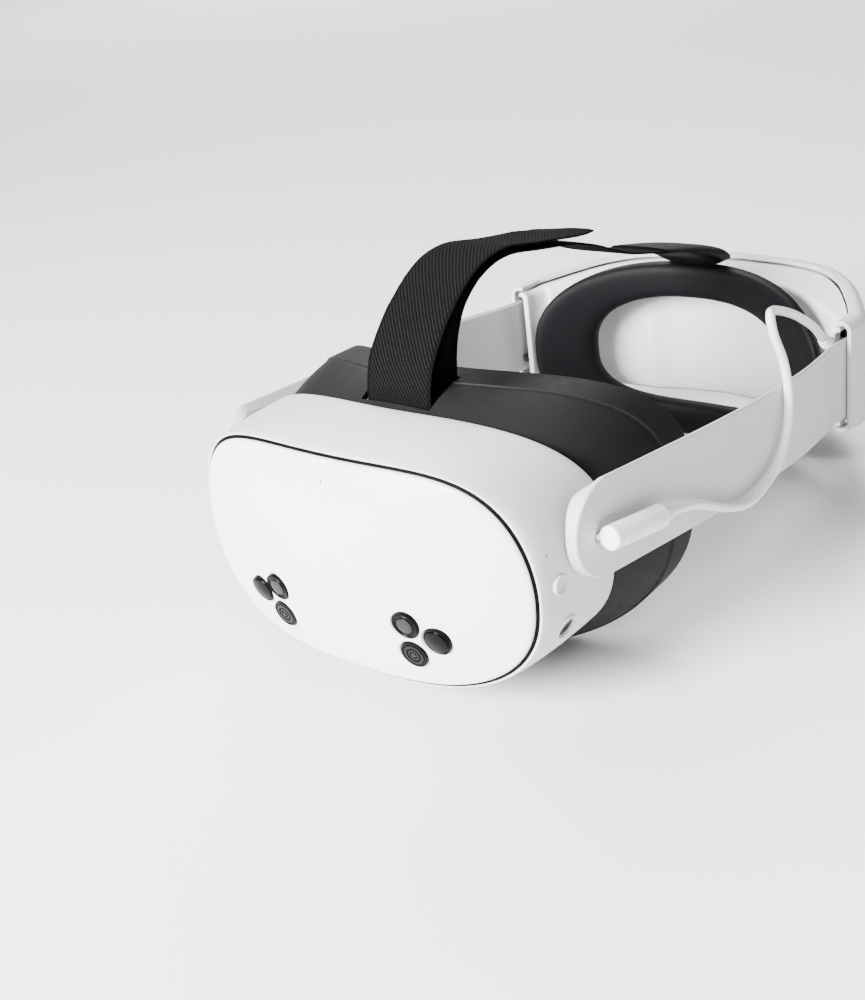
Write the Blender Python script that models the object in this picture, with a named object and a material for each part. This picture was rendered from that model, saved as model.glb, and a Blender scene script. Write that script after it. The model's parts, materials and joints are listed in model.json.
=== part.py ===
"""Stand-alone VR headset with a rigid rear-battery strap.

Metres, +Z up. The visor looks along -Y, and +X is the wearer's left. The origin is the middle of the face opening.
Below, y is measured from the front rim of the visor: everything hangs on an empty that stands on that rim.
"""

import math

import bmesh
import bpy
from mathutils import Matrix, Vector

# ---------------------------------------------------------------- driving dimensions
FACE_TO_RIM = 0.090  # from the face opening, at the origin, forward to the rim of the front cover
GAP = 0.0003  # between touching pieces
AROUND = 40  # points round a visor section

COVER_HALF = (0.0871, 0.0472, 0.0480)  # front cover: half width, height above and depth below the middle
COVER_POWER = ((5.08, 1.87), (3.13, 2.39))  # superellipse powers (across, up) above and below the middle
COVER_SWEEP = 0.0099  # how far the rim runs back at the sides
DOME = 0.0088
DOME_POWER = 2.15
COVER_WALL = 0.0022
GASKET_WIDTH = 0.0006
LIP_DEPTH = 0.0012  # the shell's lip stands this far behind the cover's rim

SHELL_HALF = (0.0925, 0.0510, 0.0510)  # rear edge of the shell
SHELL_POWER = ((2.94, 2.94), (2.94, 2.94))
SHELL_RISE = 0.0023  # its middle sits higher than the cover's
SHELL_DEPTH = 0.0394
SHELL_SWEEP = 0.0183
SHELL_WALL = 0.0024
LIP_WALL = 0.0005  # the shell's wall where it holds the gasket

FLANGE_HALF = (0.0946, 0.0588, 0.0640)  # half width, height above and depth below the middle
FLANGE_POWER = ((3.3, 3.3), (2.8, 2.8))
FLANGE_DEPTH = 0.0774
FLANGE_SWEEP = 0.0405
FLANGE_BAND = 0.0180
FACE_WALL = 0.0022

CAMERAS = {"color_camera": (0.0349, -0.0159), "tracking_camera": (0.0478, -0.0214),
           "depth_light": (0.0356, -0.0301)}
CAMERA_RADIUS = 0.0063

LENS_SPACING = 0.064
LENS_RADIUS = 0.0250
ROD_Z = 0.0315
ROD_Y = 0.0375
ROD_RADIUS = 0.0018

PIVOT_Y = 0.053
PIVOT_Z = 0.0159
PIN_RADIUS = 0.0025
PIN_HEAD_RADIUS = 0.0038
POD_Y = 0.049  # middle of the round front of the arm
POD_RADIUS = 0.021
POD_END = 0.075  # the arm stands clear of the face cover behind this
ARM_SLOPE = math.tan(math.radians(-5.16))
ARM_HEIGHT = 0.0404
ARM_WALL = 0.0026
ARM_PLAN = [(0.0959, 0.028), (0.0998, 0.075), (0.1033, 0.120), (0.1050, 0.165), (0.1036, 0.205),
            (0.1006, 0.232), (0.0982, 0.248), (0.0980, 0.257), (0.0980, 0.266)]
ARM_END = 0.266

MOUTH_Y = 0.262
HOUSING_PLAN = [(0.1008, 0.262), (0.1008, 0.279), (0.0968, 0.2885), (0.0892, 0.302), (0.0765, 0.3205),
                (0.0575, 0.3385), (0.0325, 0.350), (0.0, 0.3555)]
HOUSING_HALF = (0.0290, 0.0385)  # half height at the mouths and at the rear middle
HOUSING_WALL = 0.0022

RING_HALF = (0.0860, 0.0500)
RING_HOLE = (0.0575, 0.0310)
RING_POWER = ((2.7, 2.7), (2.7, 2.7))
RING_Y = 0.290
RING_SWEEP = 0.033
RING_Z = -0.012
RING_THICK = 0.011

DIAL_Y = 0.343
DIAL_RADIUS = 0.0200
PINION_RADIUS = 0.0095
PINION_TEETH = 16

STRAP_WIDTH = 0.034
STRAP_REAR_WIDTH = 0.030
STRAP_THICK = 0.0014
SLOT = (0.0370, 0.0230, 0.030)  # window in the face cover that the strap comes out of
SLOT_PLACE = (0, 0.0558, 0.0575)
CABLE_RADIUS = 0.0020
PLUG_RADIUS = 0.0050


# ---------------------------------------------------------------- scene, materials, bodies
def clear_scene():
    for obj in list(bpy.data.objects):
        bpy.data.objects.remove(obj, do_unlink=True)


clear_scene()
PARTS = bpy.data.collections.new("vr_headset")
CUTTERS = bpy.data.collections.new("cutters")
bpy.context.scene.collection.children.link(PARTS)
bpy.context.scene.collection.children.link(CUTTERS)


def material(name, color, roughness, metallic=0.0):
    made = bpy.data.materials.new(name)
    made.use_nodes = True
    shader = made.node_tree.nodes["Principled BSDF"]
    shader.inputs["Base Color"].default_value = (*color, 1.0)
    shader.inputs["Roughness"].default_value = roughness
    shader.inputs["Metallic"].default_value = metallic
    return made


COVER_WHITE = material("cover_white", (0.80, 0.79, 0.78), 0.38)
SHELL_WHITE = material("shell_white", (0.72, 0.72, 0.72), 0.45)
ARM_WHITE = material("arm_white", (0.66, 0.66, 0.66), 0.48)
BLACK_RUBBER = material("black_rubber", (0.012, 0.012, 0.013), 0.6)
LENS_BLACK = material("lens_black", (0.010, 0.010, 0.012), 0.08)
CHARCOAL = material("charcoal_silicone", (0.045, 0.046, 0.050), 0.62)
WEBBING = material("webbing", (0.020, 0.020, 0.022), 0.85)
DARK_PLASTIC = material("dark_plastic", (0.030, 0.030, 0.032), 0.5)
CABLE_WHITE = material("cable_white", (0.80, 0.80, 0.79), 0.35)
STEEL = material("steel", (0.55, 0.55, 0.56), 0.3, 1.0)
ALUMINIUM = material("aluminium", (0.62, 0.62, 0.63), 0.38, 1.0)
BOARD_GREEN = material("board_green", (0.02, 0.12, 0.06), 0.5)
CELL_BLUE = material("cell_blue", (0.06, 0.12, 0.25), 0.4)
CLEAR_LENS = material("clear_lens", (0.85, 0.88, 0.90), 0.05)
SCREEN_BLACK = material("screen_black", (0.008, 0.008, 0.010), 0.12)


def empty(name, place, parent=None):
    made = bpy.data.objects.new(name, None)
    made.empty_display_size = 0.02
    made.location = place
    PARTS.objects.link(made)
    if parent:
        made.parent = parent
    return made


def arm_middle(y):
    """Height of the strap arms' middle line at y."""
    return PIVOT_Z + (y - PIVOT_Y) * ARM_SLOPE


def from_arm(y):
    """The middle of the rear at y, as seen from the left arm's hinge."""
    return Vector((0, y, arm_middle(y))) - Vector(LEFT_ARM.location)


VISOR = empty("visor_axes", (0, -FACE_TO_RIM, 0))
LEFT_ARM = empty("left_arm_hinge", (0.095, PIVOT_Y, PIVOT_Z), VISOR)
RIGHT_ARM = empty("right_arm_hinge", (-0.095, PIVOT_Y, PIVOT_Z), VISOR)
HOUSING = empty("rear_housing_slide", from_arm(MOUTH_Y), LEFT_ARM)
DIAL = empty("fit_dial_axis", from_arm(DIAL_Y) - from_arm(MOUTH_Y), HOUSING)
LENS_LEFT = empty("left_lens_slide", (LENS_SPACING / 2, ROD_Y, 0), VISOR)
LENS_RIGHT = empty("right_lens_slide", (-LENS_SPACING / 2, ROD_Y, 0), VISOR)
FAN = empty("fan_axis", (0, 0.0195, 0.0), VISOR)


def body_place(body):
    """Where a body's empty stands, measured from the rim."""
    place = Vector((0, 0, 0))
    while body.parent:
        place += Vector(body.location)
        body = body.parent
    return place


# ---------------------------------------------------------------- mesh helpers
def finish(name, mesh, look, body, smooth=40):
    """Turns a mesh whose points are measured from the rim into a part that hangs on a body's empty."""
    mesh.transform(Matrix.Translation(-body_place(body)))
    mesh.shade_smooth()
    mesh.set_sharp_from_angle(angle=math.radians(smooth))
    mesh.materials.append(look)
    made = bpy.data.objects.new(name, mesh)
    PARTS.objects.link(made)
    made.parent = body
    return made


def mesh_of(name, points, faces):
    mesh = bpy.data.meshes.new(name)
    mesh.from_pydata([tuple(p) for p in points], [], faces)
    shape = bmesh.new()
    shape.from_mesh(mesh)
    bmesh.ops.recalc_face_normals(shape, faces=shape.faces)
    shape.to_mesh(mesh)
    shape.free()
    return mesh


def loft(name, rings, around=False, capped=True):
    """Joins rings of equal point count. around closes the last ring onto the first, as round a frame."""
    count = len(rings[0])
    points = [point for ring in rings for point in ring]
    faces = []
    steps = len(rings) if around else len(rings) - 1
    for row in range(steps):
        here = row * count
        there = ((row + 1) % len(rings)) * count
        for k in range(count):
            after = (k + 1) % count
            faces.append((here + k, here + after, there + after, there + k))
    if capped and not around:
        faces.append(tuple(range(count)))
        faces.append(tuple(range(len(points) - count, len(points))))
    return mesh_of(name, points, faces)


def solid(kind, size, place, turn=(0, 0, 0), sides=24, bevel=0.0):
    """A box, or a cylinder along Z before its turn, as a mesh measured from the rim."""
    shape = bmesh.new()
    if kind == "box":
        bmesh.ops.create_cube(shape, size=1.0)
        bmesh.ops.scale(shape, vec=size, verts=shape.verts)
    else:
        lower, upper, height = size
        bmesh.ops.create_cone(shape, cap_ends=True, segments=sides, radius1=lower, radius2=upper,
                              depth=height)
    if bevel:
        sharp = [edge for edge in shape.edges if edge.calc_face_angle(0) > math.radians(50)]
        bmesh.ops.bevel(shape, geom=sharp, offset=bevel, segments=1, affect="EDGES", profile=0.5)
    for axis, angle in zip("XYZ", turn):
        bmesh.ops.rotate(shape, cent=(0, 0, 0), matrix=Matrix.Rotation(math.radians(angle), 3, axis),
                         verts=shape.verts)
    bmesh.ops.translate(shape, vec=place, verts=shape.verts)
    mesh = bpy.data.meshes.new("solid")
    shape.to_mesh(mesh)
    shape.free()
    return mesh


def cutter(mesh, body):
    mesh.transform(Matrix.Translation(-body_place(body)))
    made = bpy.data.objects.new("cutter", mesh)
    CUTTERS.objects.link(made)
    made.parent = body
    made.hide_render = True
    made.display_type = "WIRE"
    return made


def boolean(target, mesh, operation="DIFFERENCE"):
    change = target.modifiers.new(operation.lower(), "BOOLEAN")
    change.operation = operation
    change.object = cutter(mesh, target.parent)
    change.solver = "EXACT"
    return target


def smooth_line(points, steps):
    """A Catmull-Rom curve through points of any dimension."""
    ends = [2 * Vector(points[0]) - Vector(points[1])] + [Vector(p) for p in points]
    ends.append(2 * Vector(points[-1]) - Vector(points[-2]))
    line = []
    for a, b, c, d in zip(ends, ends[1:], ends[2:], ends[3:]):
        for step in range(steps):
            t = step / steps
            line.append(0.5 * (2 * b + (c - a) * t + (2 * a - 5 * b + 4 * c - d) * t * t
                               + (3 * b - a - 3 * c + d) * t ** 3))
    line.append(ends[-2])
    return line


def superellipse(half, powers, count=AROUND):
    """Points (x, z) of a rounded rectangle, anticlockwise from +X.

    half is its half width, height above and depth below the middle. powers holds (across, up) above and below.
    """
    line = []
    for k in range(count):
        angle = 2 * math.pi * k / count
        c, s = math.cos(angle), math.sin(angle)
        across, up = powers[0] if s >= 0 else powers[1]
        height = half[1] if s >= 0 else half[2]
        line.append((half[0] * math.copysign(abs(c) ** (2 / across), c),
                     height * math.copysign(abs(s) ** (2 / up), s)))
    return line


def grown(half, grow):
    return [size + grow for size in half]


def share_of_outline(x, z, half, powers):
    """0 at the middle and 1 on the outline, for a point on a scaled copy of it."""
    across, up = powers[0] if z >= 0 else powers[1]
    height = half[1] if z >= 0 else half[2]
    low, high = 0.0, 2.0
    for _ in range(40):
        share = (low + high) / 2
        if abs(x / half[0] / share) ** across + abs(z / height / share) ** up > 1:
            low = share
        else:
            high = share
    return high


def swept_ring(outline, depth, sweep, half_width, rise=0.0):
    """Lifts an (x, z) outline to 3-D: its sides run back by sweep at half_width."""
    return [Vector((x, depth + sweep * (x / half_width) ** 2, z + rise)) for x, z in outline]


# ---------------------------------------------------------------- visor outside
def cover_ring(grow, depth):
    return swept_ring(superellipse(grown(COVER_HALF, grow), COVER_POWER), depth, COVER_SWEEP, COVER_HALF[0])


def dome_depth(x, z):
    """y of the front cover's outer face at (x, z)."""
    r = share_of_outline(x, z, COVER_HALF, COVER_POWER)
    return COVER_SWEEP * (x / COVER_HALF[0]) ** 2 - DOME * (1 - r ** DOME_POWER)


def dome_ring(r, inward):
    line = superellipse([r * size for size in COVER_HALF], COVER_POWER)
    return [Vector((x, dome_depth(x, z) + inward, z)) for x, z in line]


def camera_places():
    for kind, (x, z) in CAMERAS.items():
        for side, label in ((1, "left"), (-1, "right")):
            yield f"{kind}_{label}", side * x, z


def front_cover():
    radii = (0.12, 0.35, 0.58, 0.78, 0.92, 0.985)
    rings = [dome_ring(r, 0) for r in radii] + [cover_ring(0.0, 0.0005), cover_ring(0.0, 0.0040)]
    rings += [cover_ring(-COVER_WALL, 0.0040)] + [dome_ring(r * 0.965, COVER_WALL) for r in (0.92, 0.6, 0.12)]
    made = finish("front_cover", loft("front_cover", rings), COVER_WHITE, VISOR)
    for _, x, z in camera_places():
        hole = CAMERA_RADIUS + GAP
        boolean(made, solid("cylinder", (hole, hole, 0.03), (x, 0, z), (90, 0, 0)))
    return made


def vent_gasket():
    start, end = GAP, GAP + GASKET_WIDTH
    rings = [cover_ring(start, 0.0010), cover_ring(start, 0.0052), cover_ring(end, 0.0052),
             cover_ring(end, 0.0013)]
    return finish("vent_gasket", loft("vent_gasket", rings, around=True), BLACK_RUBBER, VISOR)


LIP = GASKET_WIDTH + 2 * GAP  # from the front cover out to the shell's lip


def flared(start, end, k):
    """From start at the lip to end at the rear edge: growth comes at once, and a loss comes late."""
    reach = math.sqrt(1 - (1 - k) ** 2) if abs(end) > abs(start) else k * k
    return start + (end - start) * reach


def shell_ring(k, inward=0.0):
    """Section of the shell, k from 0 at the front lip to 1 at the rear edge."""
    front = cover_ring(LIP + LIP_WALL - inward, LIP_DEPTH)
    outline = superellipse(grown(SHELL_HALF, -inward), SHELL_POWER)
    rear = swept_ring(outline, SHELL_DEPTH, SHELL_SWEEP, SHELL_HALF[0], SHELL_RISE)
    return [Vector((flared(a.x, b.x, k), a.y + (b.y - a.y) * k, flared(a.z, b.z, k)))
            for a, b in zip(front, rear)]


def shell_side(y, z):
    """x of the shell's outer side at y and z."""
    front = COVER_SWEEP + LIP_DEPTH
    k = (y - front) / (SHELL_DEPTH + SHELL_SWEEP - front)
    half_width = flared(COVER_HALF[0] + LIP + LIP_WALL, SHELL_HALF[0], k)
    power = SHELL_POWER[0][0]
    return half_width * (1 - abs((z - SHELL_RISE) / SHELL_HALF[1]) ** power) ** (1 / power)


BUTTON_Y, BUTTON_Z, BUTTON_RADIUS = 0.0220, 0.0022, 0.0042
SIDE_CAMERA_Y, SIDE_CAMERA_Z, SIDE_CAMERA_RADIUS = 0.0258, -0.0190, 0.0046
ROCKER_X, ACTION_X, UNDER_Y = 0.034, -0.034, 0.027
UNDER_Z = -0.0507  # just inside the flat land under the visor that the rocker and the action button stand in


def visor_shell():
    outer = [shell_ring(k) for k in (0.0, 0.04, 0.12, 0.3, 0.6, 1.0)]
    inner = [shell_ring(k, SHELL_WALL) for k in (1.0, 0.6, 0.3)]
    inner += [cover_ring(LIP, 0.0060), cover_ring(LIP, LIP_DEPTH)]
    made = finish("visor_shell", loft("visor_shell", outer + inner, around=True), SHELL_WHITE, VISOR)
    land = solid("box", (0.100, 0.014, 0.0030), (0, UNDER_Y, UNDER_Z + 0.0013), bevel=0.0004)
    boolean(made, land, "UNION")
    for side in (1, -1):
        hole = PIN_RADIUS + GAP
        boolean(made, solid("cylinder", (hole, hole, 0.02), (side * 0.090, PIVOT_Y, PIVOT_Z), (0, 90, 0)))
        hole = SIDE_CAMERA_RADIUS + GAP
        place = (side * 0.090, SIDE_CAMERA_Y, SIDE_CAMERA_Z)
        boolean(made, solid("cylinder", (hole, hole, 0.02), place, (0, 90, 0)))
    hole = BUTTON_RADIUS + GAP
    boolean(made, solid("cylinder", (hole, hole, 0.02), (0.090, BUTTON_Y, BUTTON_Z), (0, 90, 0)))
    boolean(made, solid("box", (0.0206, 0.0056, 0.012), (ROCKER_X, UNDER_Y, UNDER_Z)))
    boolean(made, solid("cylinder", (0.0038, 0.0038, 0.012), (ACTION_X, UNDER_Y, UNDER_Z)))
    return made


def cameras():
    for name, x, z in camera_places():
        front = dome_depth(x, z)
        glass = solid("cylinder", (CAMERA_RADIUS, CAMERA_RADIUS, 0.0024), (x, front + 0.0012, z), (90, 0, 0))
        made = finish(name, glass, LENS_BLACK, VISOR)
        place = (x, (front + 0.0072) / 2 + 0.001, z)
        barrel = solid("cylinder", (0.0042, 0.0042, 0.0072 - front), place, (90, 0, 0), 16)
        boolean(made, barrel, "UNION")
    for side, label in ((1, "left"), (-1, "right")):
        face = shell_side(SIDE_CAMERA_Y, SIDE_CAMERA_Z)
        shape = solid("cylinder", (SIDE_CAMERA_RADIUS, SIDE_CAMERA_RADIUS, 0.008),
                      (side * (face - 0.0045), SIDE_CAMERA_Y, SIDE_CAMERA_Z), (0, 90, 0))
        finish(f"side_camera_{label}", shape, LENS_BLACK, VISOR)


def buttons():
    face = shell_side(BUTTON_Y, BUTTON_Z)
    body = empty("power_button_travel", (face, BUTTON_Y, BUTTON_Z), VISOR)
    cap = solid("cylinder", (BUTTON_RADIUS, BUTTON_RADIUS, 0.0046), (face - 0.0015, BUTTON_Y, BUTTON_Z),
                (0, 90, 0),
                bevel=0.0004)
    finish("power_button", cap, SHELL_WHITE, body)
    body = empty("volume_rocker_pivot", (ROCKER_X, UNDER_Y, UNDER_Z), VISOR)
    bar = solid("box", (0.0198, 0.0048, 0.0036), (ROCKER_X, UNDER_Y, UNDER_Z + 0.0010), bevel=0.0004)
    finish("volume_rocker", bar, SHELL_WHITE, body)
    body = empty("action_button_travel", (ACTION_X, UNDER_Y, UNDER_Z), VISOR)
    cap = solid("cylinder", (0.0034, 0.0034, 0.0040), (ACTION_X, UNDER_Y, UNDER_Z + 0.0012), bevel=0.0003)
    finish("action_button", cap, SHELL_WHITE, body)


# ---------------------------------------------------------------- visor inside
BRACKET_Y = 0.0092


def electronics():
    finish("sensor_bracket", solid("box", (0.116, 0.0012, 0.034), (0, BRACKET_Y, -0.022)), ALUMINIUM, VISOR)
    finish("main_board", solid("box", (0.132, 0.0014, 0.060), (0, 0.0122, 0)), BOARD_GREEN, VISOR)
    sink = finish("heat_sink", solid("box", (0.036, 0.0014, 0.050), (0.046, 0.0139, 0)), ALUMINIUM, VISOR)
    for fin in range(-3, 4):
        rib = solid("box", (0.0012, 0.0085, 0.048), (0.046 + 0.005 * fin, 0.0180, 0))
        boolean(sink, rib, "UNION")
    finish("visor_battery", solid("box", (0.038, 0.0080, 0.052), (-0.046, 0.0175, 0), bevel=0.001),
           CELL_BLUE, VISOR)
    finish("display_panel", solid("box", (0.126, 0.0014, 0.056), (0, 0.0275, 0)), SCREEN_BLACK, VISOR)


def fan():
    box = solid("box", (0.040, 0.0090, 0.040), (0, 0.0182, 0), bevel=0.0008)
    frame = finish("fan_housing", box, DARK_PLASTIC, VISOR)
    boolean(frame, solid("cylinder", (0.0180, 0.0180, 0.0085), (0, 0.0190, 0), (90, 0, 0), 32))
    hub = solid("cylinder", (0.0060, 0.0060, 0.0066), (0, 0.0190, 0), (90, 0, 0), 20)
    rotor = finish("fan_rotor", hub, DARK_PLASTIC, FAN)
    for blade in range(7):
        angle = 2 * math.pi * blade / 7
        place = (0.0108 * math.cos(angle), 0.0190, 0.0108 * math.sin(angle))
        boolean(rotor, solid("box", (0.0120, 0.0050, 0.0009), place, (0, -math.degrees(angle), 0)), "UNION")


def optics():
    for side, label, body in ((1, "left", LENS_LEFT), (-1, "right", LENS_RIGHT)):
        x = side * LENS_SPACING / 2
        tube = solid("cylinder", (LENS_RADIUS + 0.0018, LENS_RADIUS + 0.0018, 0.0170), (x, 0.0400, 0),
                     (90, 0, 0))
        mount = finish(f"lens_mount_{label}", tube, DARK_PLASTIC, body)
        for up in (1, -1):
            boolean(mount, solid("box", (0.018, 0.007, 0.010), (x, ROD_Y, up * ROD_Z * 0.945)), "UNION")
        bore = LENS_RADIUS - 0.0012
        boolean(mount, solid("cylinder", (bore, bore, 0.02), (x, 0.0400, 0), (90, 0, 0)))
        seat = LENS_RADIUS + GAP
        boolean(mount, solid("cylinder", (seat, seat, 0.0100), (x, 0.0481, 0), (90, 0, 0)))
        for up in (1, -1):
            hole = ROD_RADIUS + GAP
            boolean(mount, solid("cylinder", (hole, hole, 0.03), (x, ROD_Y, up * ROD_Z), (0, 90, 0), 12))
        profile = [(LENS_RADIUS * t, 0.0437 + 0.0042 + 0.0022 * (1 - t * t)) for t in (0.12, 0.6, 1.0)]
        rings = [[(r * math.cos(a), r * math.sin(a), y) for a in [2 * math.pi * k / 24 for k in range(24)]]
                 for r, y in profile + [(LENS_RADIUS, 0.0437), (LENS_RADIUS * 0.12, 0.0437)]]
        lens = loft("lens", [[Vector((x + p[0], p[2], p[1])) for p in ring] for ring in rings])
        finish(f"lens_{label}", lens, CLEAR_LENS, body)
        bracket = solid("box", (0.0060, 0.0080, 0.0680), (side * 0.0703, ROD_Y, 0), bevel=0.0005)
        finish(f"rod_bracket_{label}", bracket, DARK_PLASTIC, VISOR)
    for up, label in ((1, "upper"), (-1, "lower")):
        rod = solid("cylinder", (ROD_RADIUS, ROD_RADIUS, 0.1340), (0, ROD_Y, up * ROD_Z), (0, 90, 0), 12)
        finish(f"{label}_guide_rod", rod, STEEL, VISOR)


def lens_bezel():
    front, rear = 0.0520, 0.0536
    outline = superellipse((0.0800, 0.0405, 0.0405), ((2.9, 2.9), (2.9, 2.9)))
    rings = [swept_ring([(x * 0.03, z * 0.03) for x, z in outline], front, 0, 1)]
    rings += [swept_ring(outline, front, 0, 1), swept_ring(outline, rear, 0, 1)]
    rings += [swept_ring([(x * 0.03, z * 0.03) for x, z in outline], rear, 0, 1)]
    made = finish("lens_bezel", loft("lens_bezel", rings), DARK_PLASTIC, VISOR)
    for side in (1, -1):
        hole = LENS_RADIUS + 0.0012
        boolean(made, solid("cylinder", (hole, hole, 0.01), (side * LENS_SPACING / 2, 0.0528, 0), (90, 0, 0)))
    return made


# ---------------------------------------------------------------- face cover and top strap
def face_ring(k, inward):
    """Section of the face cover, k from 0 inside the shell's rear edge, past 1 at the flange's front edge, to 2."""
    grow = min(k, 1.0)
    base = (0.0868, 0.0474, 0.0474)
    half = [a + (b - a) * grow - inward for a, b in zip(base, FLANGE_HALF)]
    power = [[a + (b - a) * grow for a, b in zip(*ends)] for ends in zip(SHELL_POWER, FLANGE_POWER)]
    depth_front, sweep_front = 0.0369, SHELL_SWEEP
    depth = depth_front + (FLANGE_DEPTH - FLANGE_BAND - depth_front) * grow + FLANGE_BAND * max(k - 1, 0)
    sweep = sweep_front + (FLANGE_SWEEP - sweep_front) * grow
    rise = SHELL_RISE * (1 - grow)
    return swept_ring(superellipse(half, power), depth, sweep, FLANGE_HALF[0], rise)


COLLAR = Vector((0, 0.0034, 0))  # the part of the face cover that goes into the shell


def face_cover():
    outer = [face_ring(0.0, 0.0), [point + COLLAR for point in face_ring(0.0, 0.0)]]
    outer += [face_ring(k, 0.0) for k in (0.35, 0.72, 0.93)]
    outer += [face_ring(1.0, -0.0004), face_ring(1.9, 0.0), face_ring(2.0, 0.0010)]
    inner = [face_ring(2.0, FACE_WALL + 0.010), face_ring(1.75, FACE_WALL + 0.011)]
    inner += [face_ring(k, FACE_WALL) for k in (1.0, 0.35)]
    inner += [[point + COLLAR for point in face_ring(0.0, FACE_WALL)], face_ring(0.0, FACE_WALL)]
    made = finish("face_cover", loft("face_cover", outer + inner, around=True), CHARCOAL, VISOR)
    boolean(made, solid("box", SLOT, SLOT_PLACE))
    for side in (1, -1):
        notch = PIN_HEAD_RADIUS + 0.0008
        boolean(made, solid("cylinder", (notch, notch, 0.0110), (side * 0.0850, PIVOT_Y, PIVOT_Z),
                            (0, 90, 0), 20))
    return made


def face_frame():
    gap = FACE_WALL + 0.0014
    outer = [face_ring(k, gap) for k in (0.35, 0.6, 0.92)]
    inner = [face_ring(k, gap + 0.0020) for k in (0.92, 0.6, 0.35)]
    made = finish("face_frame", loft("face_frame", outer + inner, around=True), DARK_PLASTIC, VISOR)
    boolean(made, solid("box", (0.045, 0.080, SLOT[2]), SLOT_PLACE))
    return made


def strap_bridge():
    made = finish("strap_bridge", solid("box", (0.0424, 0.0094, 0.0026), (0, 0.0563, 0.0467), bevel=0.0006),
                  DARK_PLASTIC, VISOR)
    for side in (1, -1):
        ear = solid("box", (0.0028, 0.0094, 0.0060), (side * 0.0198, 0.0563, 0.0444))
        boolean(made, ear, "UNION")
    return made


STRAP_FRONT = [(0.1738, 0.0906), (0.1680, 0.0908), (0.1570, 0.0922), (0.1430, 0.0943), (0.1300, 0.0966),
               (0.1200, 0.0988), (0.1100, 0.1006), (0.1000, 0.1007), (0.0900, 0.0988), (0.0810, 0.0948),
               (0.0730, 0.0898), (0.0650, 0.0838), (0.0580, 0.0768), (0.0522, 0.0695), (0.0492, 0.0620),
               (0.0478, 0.0550), (0.0476, 0.0500), (0.0484, 0.0452), (0.0515, 0.0422), (0.0563, 0.0414),
               (0.0610, 0.0424), (0.0640, 0.0460), (0.0650, 0.0540), (0.0662, 0.0640), (0.0686, 0.0738),
               (0.0728, 0.0826), (0.0790, 0.0894), (0.0870, 0.0944), (0.0970, 0.0976), (0.1060, 0.0984),
               (0.1150, 0.0976), (0.1300, 0.0945), (0.1430, 0.0920), (0.1540, 0.0899), (0.1640, 0.0872)]
STRAP_REAR = [(0.1648, 0.0869), (0.1790, 0.0818), (0.1887, 0.0774), (0.2010, 0.0724), (0.2129, 0.0684),
              (0.2343, 0.0626), (0.2550, 0.0572), (0.2700, 0.0522), (0.2820, 0.0474), (0.2880, 0.0452)]


def flat_band(name, line, widths, thick):
    """A flat band along a line of (y, z) points, from one width to another."""
    line = [Vector(p) for p in line]
    rings = []
    for k, here in enumerate(line):
        ahead = line[min(k + 1, len(line) - 1)] - line[max(k - 1, 0)]
        normal = Vector((-ahead.y, ahead.x)).normalized() * thick / 2
        half = (widths[0] + (widths[1] - widths[0]) * k / (len(line) - 1)) / 2
        corners = [(-half, here + normal), (half, here + normal), (half, here - normal),
                   (-half, here - normal)]
        rings.append([Vector((x, p.x, p.y)) for x, p in corners])
    return loft(name, rings)


def top_straps():
    front = flat_band("top_strap_front", STRAP_FRONT, (STRAP_WIDTH, STRAP_WIDTH), STRAP_THICK)
    finish("top_strap_front", front, WEBBING, VISOR)
    rear = flat_band("top_strap_rear", STRAP_REAR, (STRAP_WIDTH, STRAP_REAR_WIDTH), STRAP_THICK)
    finish("top_strap_rear", rear, WEBBING, HOUSING)


# ---------------------------------------------------------------- strap arms
def pivot_pin(side, label):
    pin = solid("cylinder", (PIN_RADIUS, PIN_RADIUS, 0.0100), (side * 0.0898, PIVOT_Y, PIVOT_Z), (0, 90, 0),
                20)
    made = finish(f"pivot_pin_{label}", pin, STEEL, VISOR)
    head = solid("cylinder", (PIN_HEAD_RADIUS, PIN_HEAD_RADIUS, 0.0020), (side * 0.0852, PIVOT_Y, PIVOT_Z),
                 (0, 90, 0))
    boolean(made, head, "UNION")
    return made


POD_INNER = 0.0929
SPEAKER_Y = 0.0905
SPEAKER_RADIUS = 0.0085
PORT_Y, PORT_Z = 0.0443, 0.0148


def arm_line():
    """The arm's outer face in plan, as (x, y) points."""
    return smooth_line(ARM_PLAN, 3)


def arm_outer(y):
    line = arm_line()
    for a, b in zip(line, line[1:]):
        if a.y <= y <= b.y:
            return a.x + (b.x - a.x) * (y - a.y) / (b.y - a.y)
    return line[-1].x


def arm_inner(y):
    """The inner face: a thick pod round the pivot, thinning to a band."""
    band = arm_outer(y) - ARM_WALL
    reach = min(max((y - 0.098) / 0.010, 0.0), 1.0)
    blend = reach * reach * (3 - 2 * reach)
    pod = max(POD_INNER, arm_outer(y) - 0.0052) if y > POD_END else POD_INNER
    return pod + (band - pod) * blend


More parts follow.
